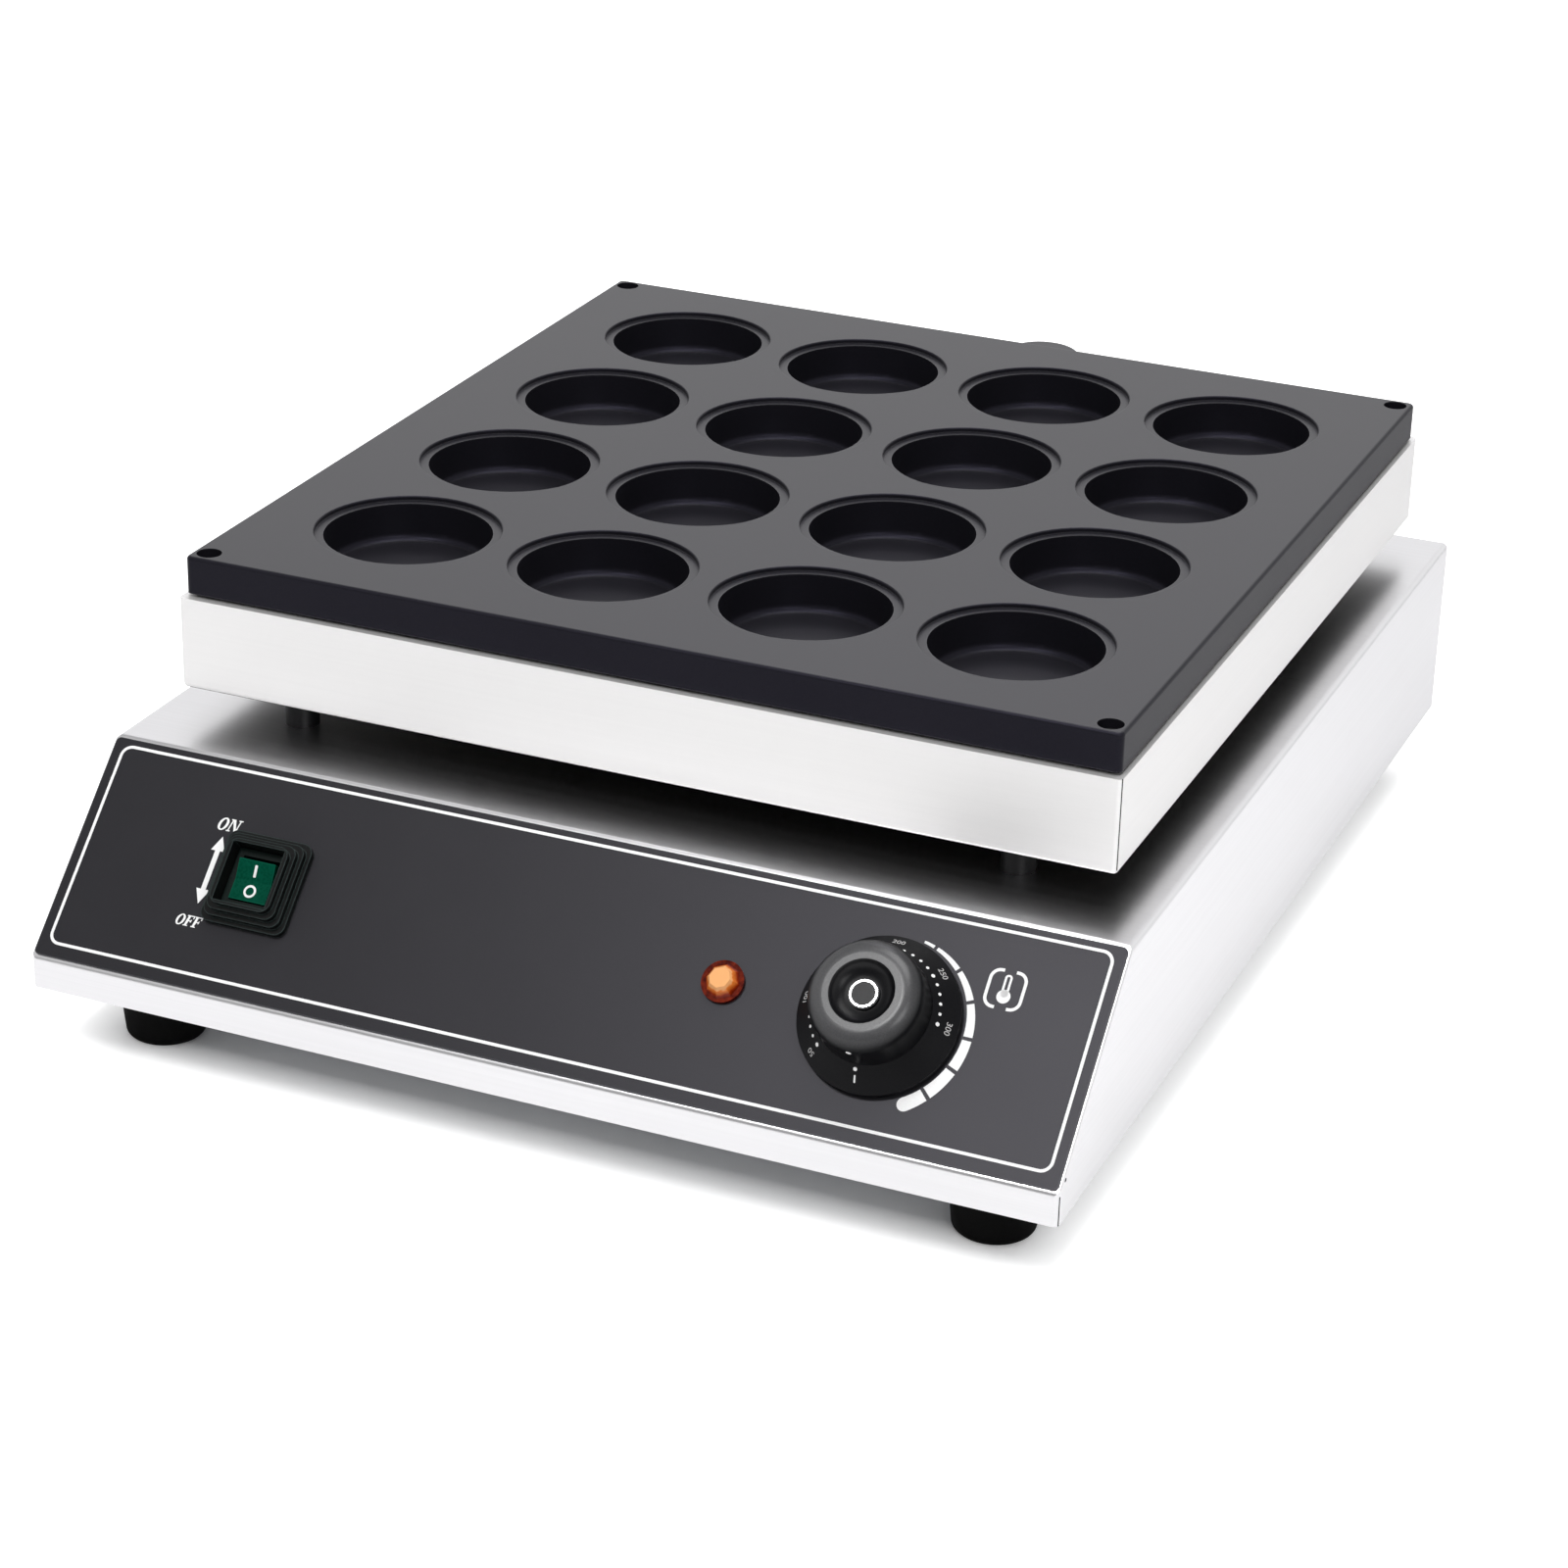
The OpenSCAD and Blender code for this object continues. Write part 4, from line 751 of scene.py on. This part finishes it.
# A finish for each slot: name, dark and light colour, roughness from low to high
FINISHES = {
    "stainless": steel_finish(
        "brushed stainless", (0.775, 0.77, 0.785), (0.83, 0.825, 0.84), (0.25, 0.33)
    ),
    "zinc_steel": zinc_finish(),
    "rubber_black": moulded_finish(
        "black rubber", (0.002, 0.002, 0.002), (0.005, 0.005, 0.005), (0.55, 0.75), gloss=0.05
    ),
    "pillar_black": moulded_finish(
        "black oxide", (0.005, 0.005, 0.006), (0.012, 0.012, 0.013), (0.35, 0.5), gloss=0.2
    ),
    "insulation": felt_finish(),
    "reflector": foil_finish(),
    "coated_aluminium": plate_finish(),
    "black_screw": moulded_finish(
        "black screw", (0.005, 0.005, 0.005), (0.016, 0.016, 0.016), (0.3, 0.45), gloss=0.3
    ),
    "element_steel": element_finish(),
    "porcelain": moulded_finish(
        "glazed porcelain", (0.74, 0.72, 0.66), (0.86, 0.85, 0.80), (0.14, 0.24), size=600.0, bump=0.05
    ),
    "copper": steel_finish(
        "drawn copper", (0.50, 0.25, 0.14), (0.70, 0.40, 0.25), (0.25, 0.4), density=1500.0
    ),
    "panel_black": moulded_finish(
        "panel film",
        (0.009, 0.0088, 0.0102),
        (0.014, 0.0137, 0.0157),
        (0.34, 0.42),
        size=3000.0,
        bump=0.08,
        edge=BLACK_EDGE_HIGHLIGHT,
        gloss=0.3,
        tint=COOL,
    ),
    "switch_black": moulded_finish(
        "black plastic", (0.002, 0.002, 0.003), (0.006, 0.006, 0.007), (0.34, 0.48), gloss=0.15
    ),
    "rocker_green": moulded_finish(
        "green plastic",
        (0.0, 0.046, 0.025),
        (0.0005, 0.072, 0.040),
        (0.22, 0.34),
        size=900.0,
        bump=0.05,
        # Paler green on the rocker's edges: a painted highlight.
        edge=(0.006, 0.12, 0.07),
        gloss=0.04,
    ),
    "brass_tabs": steel_finish(
        "plain brass", (0.58, 0.43, 0.18), (0.78, 0.62, 0.30), (0.25, 0.38), density=1500.0
    ),
    "lamp_orange": lens_finish(),
    "knob_black": dial_finish(),
}

# Dark and light colour of each lead's cover
WIRE_COLOURS = {
    "heater_leads": ((0.36, 0.04, 0.03), (0.52, 0.08, 0.06)),
    "switch_leads": ((0.03, 0.08, 0.30), (0.06, 0.14, 0.44)),
    "lamp_leads": ((0.02, 0.02, 0.022), (0.05, 0.05, 0.052)),
    "earth_lead": ((0.10, 0.26, 0.05), (0.50, 0.46, 0.06)),
}
WIRE_ROUGH = (0.4, 0.55)

# Finishes of single pieces, and of what is printed
BRIGHT_TRIM = steel_finish(
    "bright trim", (0.74, 0.74, 0.75), (0.86, 0.86, 0.87), (0.10, 0.18)
)
INK = moulded_finish(
    "white ink", (0.80, 0.80, 0.80), (0.92, 0.92, 0.92), (0.45, 0.6), size=2500.0, bump=0.05
)
DIAL_INK = moulded_finish(
    "grey dial ink", (0.42, 0.42, 0.42), (0.54, 0.54, 0.54), (0.5, 0.65), size=2500.0, bump=0.05
)
SEAM = moulded_finish(
    "dark seam", (0.010, 0.010, 0.010), (0.030, 0.029, 0.028), (0.6, 0.8), gloss=0.1
)
SEAL = moulded_finish(
    "graphite seal",
    (0.006, 0.006, 0.007),
    (0.016, 0.016, 0.017),
    (0.6, 0.8),
    size=1200.0,
    bump=0.3,
    gloss=0.1,
)
GUARD = moulded_finish(
    "soft black guard",
    (0.002, 0.002, 0.002),
    (0.005, 0.006, 0.006),
    (0.26, 0.36),
    bump=0.06,
    # Greenish pale edges: a painted highlight, tinted green as a painted reflection of the green rocker.
    edge=(0.040, 0.060, 0.057),
    gloss=0.18,
)
# Black with a green cast in the well round the rocker: a painted reflection of the green rocker.
GREEN_REFLECTION_BEZEL = moulded_finish(
    "black bezel with painted green reflection", (0.002, 0.005, 0.004), (0.005, 0.012, 0.010), (0.34, 0.48), gloss=0.15
)
OWN_FINISH = {
    "heater_tray": tray_finish(),
    "switch_guard": GUARD,
    "plate_gasket": SEAL,
    "switch_body": GREEN_REFLECTION_BEZEL,
}


def dress_solids():
    """Gives each solid the finish of its slot, or its own where it has one."""
    for part in frame["record"]["subparts"]:
        name = part["node"]
        mesh = frame["nodes"][name].data
        if name in WIRE_COLOURS:
            finish = moulded_finish("wire cover " + name, *WIRE_COLOURS[name], WIRE_ROUGH)
        elif name in OWN_FINISH:
            finish = OWN_FINISH[name]
        else:
            finish = FINISHES[part["material_slot"]]
        mesh.materials.clear()
        mesh.materials.append(finish)


# Seams of the folded sheet


def corner_seam(bm, x, y, r, low, high, side):
    """Thin dark line down a front corner of that outside radius."""
    turn = math.radians(-90.0 + side * SEAM_TURN)
    spot = Vector((x - side * r + r * math.cos(turn), y + r + r * math.sin(turn), 0.0))
    place = Matrix.Translation(spot) @ Matrix.Rotation(turn, 4, "Z")
    half = SEAM_W / 2
    outline = [(-half, -half), (SEAM_UP, -half), (SEAM_UP, half), (-half, half)]
    add_plate(bm, outline, low, high, place)


def sheet_seams():
    """Where the lip and the tray's front meet their sides, and the notch that relieves the fold."""
    body_low, body_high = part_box("chassis_shell")
    tray_low, tray_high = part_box("heater_tray")
    tray_foot = tray_low[2] + TRAY_EDGE_R
    bm = bmesh.new()
    for side in (-1, 1):
        body_x, tray_x = side * body_high[0], side * tray_high[0]
        corner_seam(bm, body_x, body_low[1], BEND_R, body_low[2], LIP_TOP, side)
        corner_seam(bm, tray_x, tray_low[1], TRAY_CORNER_R, tray_foot, tray_high[2], side)
        sideways = Matrix.Rotation(side * math.pi / 2, 4, "Y")
        notch = Matrix.Translation((body_x, *NOTCH_AT)) @ sideways
        add_plate(bm, disc(NOTCH_R, steps=20), -NOTCH_R, SEAM_UP, notch)
    piece("sheet_seams", bm, "chassis", SEAM)


# Printed marks on the panel


def panel_border():
    """White line round the panel."""
    bm = bmesh.new()
    inset = 2 * BORDER_LINE
    outer = rounded(BORDER_W, BORDER_H, BORDER_R)
    inner = rounded(BORDER_W - inset, BORDER_H - inset, BORDER_R - BORDER_LINE)
    ink_ring(bm, outer, inner, panel_frame(0.0, BORDER_V))
    piece("panel_border", bm, "chassis", INK)


def wedge_thickness(angle):
    """How thick the growing scale is at an angle."""
    share = (WEDGE_ENDS[0] - angle) / (WEDGE_ENDS[0] - WEDGE_ENDS[-1])
    return WEDGE_THIN + (WEDGE_THICK - WEDGE_THIN) * share


def wedge_part(start, end, last):
    """One part of the growing scale, round at its wide end where it is the last."""
    angles = [start + (end - start) * i / WEDGE_STEPS for i in range(WEDGE_STEPS + 1)]
    inner = [at_angle(WEDGE_IN_R, a) for a in angles]
    outer = [at_angle(WEDGE_IN_R + wedge_thickness(a), a) for a in angles]
    tip = []
    if last:
        half = wedge_thickness(end) / 2
        tip = arc(*at_angle(WEDGE_IN_R + half, end), half, end + 180, end + 360, WEDGE_STEPS)[1:-1]
    return inner + tip + outer[::-1]


def dial_wedges():
    """Growing scale beside the dial, in parts with gaps between them."""
    bm = bmesh.new()
    place = panel_frame(DIAL_AT.x, DIAL_V)
    for start, end in zip(WEDGE_ENDS, WEDGE_ENDS[1:]):
        outline = wedge_part(start - WEDGE_GAP / 2, end + WEDGE_GAP / 2, end == WEDGE_ENDS[-1])
        ink_plate(bm, outline, place)
    piece("dial_wedges", bm, "chassis", INK)


def switch_arrow():
    """Arrow with two heads along the switch."""
    half = (ARROW_HIGH - ARROW_LOW) / 2
    neck = half - ARROW_HEAD_L
    wing, line = ARROW_HEAD_W / 2, ARROW_LINE / 2
    upper = [(line, neck), (wing, neck), (0.0, half), (-wing, neck), (-line, neck)]
    lower = [(-x, -y) for x, y in upper]
    bm = bmesh.new()
    ink_plate(bm, upper + lower, panel_frame(ARROW_X, (ARROW_HIGH + ARROW_LOW) / 2))
    piece("switch_arrow", bm, "chassis", INK)


def slab_letter(bars):
    """Letter from straight bars, each by two corners in parts of the letter's height."""
    return [[(x0, y0), (x1, y0), (x1, y1), (x0, y1)] for x0, y0, x1, y1 in bars]


LETTER_F = slab_letter(
    (
        (0.10, 0.09, 0.32, 0.91),
        (0.0, 0.0, 0.44, 0.09),
        (0.0, 0.91, 0.72, 1.0),
        (0.62, 0.72, 0.72, 0.91),
        (0.32, 0.45, 0.50, 0.55),
        (0.50, 0.37, 0.59, 0.63),
    )
)
LETTER_N = slab_letter(
    (
        (0.10, 0.09, 0.20, 0.91),
        (0.0, 0.0, 0.32, 0.09),
        (0.74, 0.0, 0.84, 0.91),
        (0.62, 0.91, 0.96, 1.0),
        (0.0, 0.91, 0.20, 1.0),
    )
) + [[(0.20, 1.0), (0.20, 0.84), (0.66, 0.0), (0.74, 0.0), (0.74, 0.22), (0.34, 1.0)]]
LETTER_BARS = {"N": LETTER_N, "F": LETTER_F}

# The O's two outlines by half their width and height, and each letter's room, in parts of its height
LETTER_O_OUT = (0.40, 0.52)
LETTER_O_IN = (0.19, 0.41)
LETTER_WIDE = {"O": 0.92, "N": 0.98, "F": 0.76}


def write_word(bm, word, x, v, height):
    """Slanted letters with feet, centred on a place of the panel."""
    pen = -sum(LETTER_WIDE[letter] for letter in word) * height / 2
    place = panel_frame(x, v)
    for letter in word:
        if letter == "O":
            middle = pen + LETTER_WIDE["O"] / 2 * height
            rings = [oval(w * height, h * height) for w, h in (LETTER_O_OUT, LETTER_O_IN)]
            outer, inner = [shifted(ring, middle, 0.0, LETTER_SLANT) for ring in rings]
            ink_ring(bm, outer, inner, place)
        else:
            for bar in LETTER_BARS[letter]:
                flat = [(a * height, (b - 0.5) * height) for a, b in bar]
                ink_plate(bm, shifted(flat, pen, 0.0, LETTER_SLANT), place)
        pen += LETTER_WIDE[letter] * height


def switch_words():
    """The words at the arrow's two ends."""
    words = (("label_on", "ON", ON_AT, ON_H), ("label_off", "OFF", OFF_AT, OFF_H))
    for name, word, spot, height in words:
        bm = bmesh.new()
        write_word(bm, word, *spot, height)
        piece(name, bm, "chassis", INK)


def thermometer_sign():
    """Thermometer between two brackets."""
    bm = bmesh.new()
    place = panel_frame(*SIGN_AT)
    x, y, r = SIGN_W / 2, SIGN_H / 2, SIGN_R
    for side in (-1, 1):
        path = [(SIGN_BREAK, y)] + arc(x - r, y - r, r, 90, 0, SIGN_STEPS)
        path += arc(x - r, r - y, r, 0, -90, SIGN_STEPS) + [(SIGN_BREAK, -y)]
        outline = stroke([(side * px, py) for px, py in path], SIGN_LINE)
        ink_plate(bm, outline, place)
    ink_plate(bm, shifted(disc(BULB_R), 0.0, -BULB_DROP), place)
    stem = rounded(STEM_W, STEM_H, STEM_W * STEM_ROUND)
    hollow = rounded(STEM_W * HOLLOW_W, STEM_H * HOLLOW_H, STEM_W * HOLLOW_ROUND)
    stem = shifted(stem, 0.0, STEM_RISE)
    hollow = shifted(hollow, 0.0, STEM_RISE + STEM_H * HOLLOW_RISE)
    ink_ring(bm, stem, hollow, place)
    piece("thermometer_sign", bm, "chassis", INK)


# Marks on the dial and the rocker


def skirt_frame(angle, r):
    """Axes on the dial's cone: along its rim, outwards and off its face.

    Angles in degrees run clockwise from its mark.
    """
    turn = Matrix.Rotation(math.radians(-90.0 - angle), 4, "Z")
    fall = math.atan2(SKIRT_RISE - SKIRT_EDGE, SKIRT_R - GRIP_R)
    height = SKIRT_EDGE + (SKIRT_R - r) * math.tan(fall)
    lean = Matrix.Rotation(fall, 4, "Y")
    stand = Matrix.Rotation(math.radians(-90.0), 4, "Z")
    return on_slope(DIAL_AT) @ turn @ Matrix.Translation((r, 0.0, height)) @ lean @ stand


def number_mesh(text, size):
    """Digits as a thin solid about their centre."""
    curve = bpy.data.curves.new("digits", "FONT")
    curve.body = text
    curve.size = size
    curve.extrude = INK_T / 2
    curve.align_x = "CENTER"
    curve.align_y = "CENTER"
    holder = bpy.data.objects.new("digits", curve)
    bpy.context.collection.objects.link(holder)
    bpy.context.view_layer.update()
    mesh = bpy.data.meshes.new_from_object(holder)
    bpy.data.objects.remove(holder)
    bpy.data.curves.remove(curve)
    return mesh


def dial_numbers():
    """Temperatures round the skirt."""
    bm = bmesh.new()
    for i, text in enumerate(NUMBERS):
        mesh = number_mesh(text, NUMBER_H)
        place = skirt_frame(NUMBER_FROM + NUMBER_STEP * i, NUMBER_R)
        mesh.transform(place @ Matrix.Translation((0.0, 0.0, INK_LIFT + INK_T)))
        bm.from_mesh(mesh)
        bpy.data.meshes.remove(mesh)
    bmesh.ops.remove_doubles(bm, verts=bm.verts, dist=NUMBER_WELD)
    piece("dial_numbers", bm, "dial", DIAL_INK)


def dial_dots():
    """Dots from the first number to the last, larger at each number."""
    bm = bmesh.new()
    for i in range((len(NUMBERS) - 1) * DOTS_PER_NUMBER + 1):
        angle = NUMBER_FROM + NUMBER_STEP * i / DOTS_PER_NUMBER
        r = NUMBER_DOT_R if i % DOTS_PER_NUMBER == 0 else DOT_R
        ink_plate(bm, disc(r, steps=14), skirt_frame(angle, DOT_AT_R))
    piece("dial_dots", bm, "dial", INK)


def dial_pointer():
    """Dot and tick on the skirt, and a dot on the grip above them."""
    bm = bmesh.new()
    ink_plate(bm, disc(POINTER_DOT_R, steps=16), skirt_frame(0.0, POINTER_DOT_AT_R))
    ink_plate(bm, rounded(TICK_W, TICK_L, TICK_ROUND, steps=3), skirt_frame(0.0, TICK_AT_R))
    r = GRIP_R - (GRIP_DOT_UP - SKIRT_RISE) * math.tan(GRIP_LEAN)
    side = on_slope(DIAL_AT) @ Matrix.Translation((0.0, -r, GRIP_DOT_UP))
    side = side @ Matrix.Rotation(math.radians(90.0) - GRIP_LEAN, 4, "X")
    ink_plate(bm, disc(GRIP_DOT_R, steps=20), side)
    piece("dial_pointer", bm, "dial", INK)


def cap_ring():
    """Thin bright ring round the edge of the plain cap."""
    low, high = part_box("knob_cap")
    middle = (Vector(low) + Vector(high)) / 2
    up = CAP_H / 2
    bm = bmesh.new()
    outer = disc(CAP_RING_R, CAP_RING_STEPS)
    inner = disc(CAP_RING_R - CAP_RING_LINE, CAP_RING_STEPS)
    add_ring(bm, outer, inner, up, up + CAP_RING_UP, on_slope(middle))
    piece("cap_ring", bm, "dial", BRIGHT_TRIM, CAP_RING_SMOOTH)


def rocker_face(side):
    """Axes on one of the rocker's two faces, with the rocker at rest."""
    rest = on_slope(ROCKER_AT) @ Matrix.Rotation(ROCKER_TILT, 4, "X")
    out = Matrix.Translation((0.0, side * ROCKER_L / 4, ROCKER_TOP))
    return rest @ out @ Matrix.Rotation(side * ROCKER_TILT, 4, "X")


def rocker_marks():
    """The I and the O of the rocker."""
    bm = bmesh.new()
    ink_plate(bm, rounded(*ROCKER_BAR, steps=3), rocker_face(1))
    ink_ring(bm, disc(ROCKER_RING_R), disc(ROCKER_RING_IN_R), rocker_face(-1))
    piece("rocker_marks", bm, "rocker", INK)


# Stage


def floor_finish():
    """White floor that glows where the camera sees it, save for the shadow under the casing."""
    material, s, surface = finish_of("white floor")
    surface["Base Color"].default_value = FLOOR_WHITE
    surface["Roughness"].default_value = 1.0
    surface["Specular IOR Level"].default_value = 0.0
    surface["Emission Color"].default_value = (*WHITE, 1.0)
    path = s.node("ShaderNodeLightPath").outputs
    mirrored = s.math("MAXIMUM", path["Is Glossy Ray"], path["Is Transmission Ray"])
    core = (cad_high[0] - SHADOW_IN, cad_high[1] - SHADOW_IN, 1.0)
    beyond = s.vector("SUBTRACT", s.vector("ABSOLUTE", s.place()), core)
    outside = s.vector("LENGTH", s.vector("MAXIMUM", beyond, (0.0, 0.0, 0.0)))
    away = s.span(outside, 0.0, FLOOR_GLOW, 0.0, SHADOW_FADE)
    looked_at = s.math("MULTIPLY", path["Is Camera Ray"], away)
    glow = s.math("ADD", looked_at, s.math("MULTIPLY", mirrored, FLOOR_MIRRORED))
    s.link(glow, surface["Emission Strength"])
    return material


def lay_floor():
    """Wide white floor that keeps the soft shadow."""
    bm = bmesh.new()
    half = FLOOR_HALF
    add_plate(bm, [(-half, -half), (half, -half), (half, half), (-half, half)], FLOOR_BOTTOM, FLOOR_TOP)
    mesh = bpy.data.meshes.new("floor")
    bm.to_mesh(mesh)
    bm.free()
    floor = bpy.data.objects.new("floor", mesh)
    bpy.context.collection.objects.link(floor)
    floor.data.materials.append(floor_finish())


def light_world():
    """White surroundings, dimmer overhead and on the camera's side, brighter where seen or mirrored."""
    world = bpy.data.worlds.new("studio")
    bpy.context.scene.world = world
    world.use_nodes = True
    s = Shader(world.node_tree)
    background = world.node_tree.nodes["Background"].inputs
    background["Color"].default_value = (*WHITE, 1.0)
    path = s.node("ShaderNodeLightPath").outputs
    seen = s.math("MAXIMUM", path["Is Camera Ray"], path["Is Glossy Ray"])
    seen = s.math("MAXIMUM", seen, path["Is Transmission Ray"])
    direction = s.node("ShaderNodeTexCoord").outputs["Generated"]
    ceiling = s.span(s.vector("DOT_PRODUCT", direction, (0.0, 0.0, 1.0)), *CEILING_DIMS)
    front = s.span(s.vector("DOT_PRODUCT", direction, (0.0, -1.0, 0.0)), *FRONT_DIMS)
    shown = s.math("MULTIPLY", ceiling, front)
    more = s.math("MULTIPLY", seen, s.math("SUBTRACT", shown, WORLD_LIGHT))
    s.link(s.math("ADD", more, WORLD_LIGHT), background["Strength"])


def hang_lamps():
    """Square softboxes round the part."""
    for name, (at, size, power, colour) in LAMPS.items():
        light = bpy.data.lights.new(name, "AREA")
        light.color = colour
        light.shape = "SQUARE"
        light.size = size
        light.energy = power
        lamp = bpy.data.objects.new(name, light)
        lamp.location = at
        lamp.rotation_euler = (Vector(LAMP_AIM) - Vector(at)).to_track_quat("-Z", "Y").to_euler()
        bpy.context.collection.objects.link(lamp)


def place_camera():
    """Camera with its roll about the line of sight."""
    camera = bpy.data.objects.new("camera", bpy.data.cameras.new("camera"))
    bpy.context.collection.objects.link(camera)
    camera.data.lens = CAMERA_LENS
    camera.data.sensor_width = SENSOR_W
    camera.data.clip_end = CAMERA_REACH
    forward = (CAMERA_AIM - CAMERA_AT).normalized()
    level = forward.cross(Vector((0.0, 0.0, 1.0))).normalized()
    above = level.cross(forward)
    right = level * math.cos(CAMERA_ROLL) + above * math.sin(CAMERA_ROLL)
    up = right.cross(forward)
    turn = Matrix((right, up, -forward)).transposed().to_4x4()
    camera.matrix_world = Matrix.Translation(CAMERA_AT) @ turn
    bpy.context.scene.camera = camera


place_camera()
light_world()
lay_floor()
hang_lamps()
dress_solids()
sheet_seams()
panel_border()
dial_wedges()
switch_arrow()
switch_words()
thermometer_sign()
dial_numbers()
dial_dots()
dial_pointer()
cap_ring()
rocker_marks()

bpy.context.scene.view_settings.view_transform = "Standard"
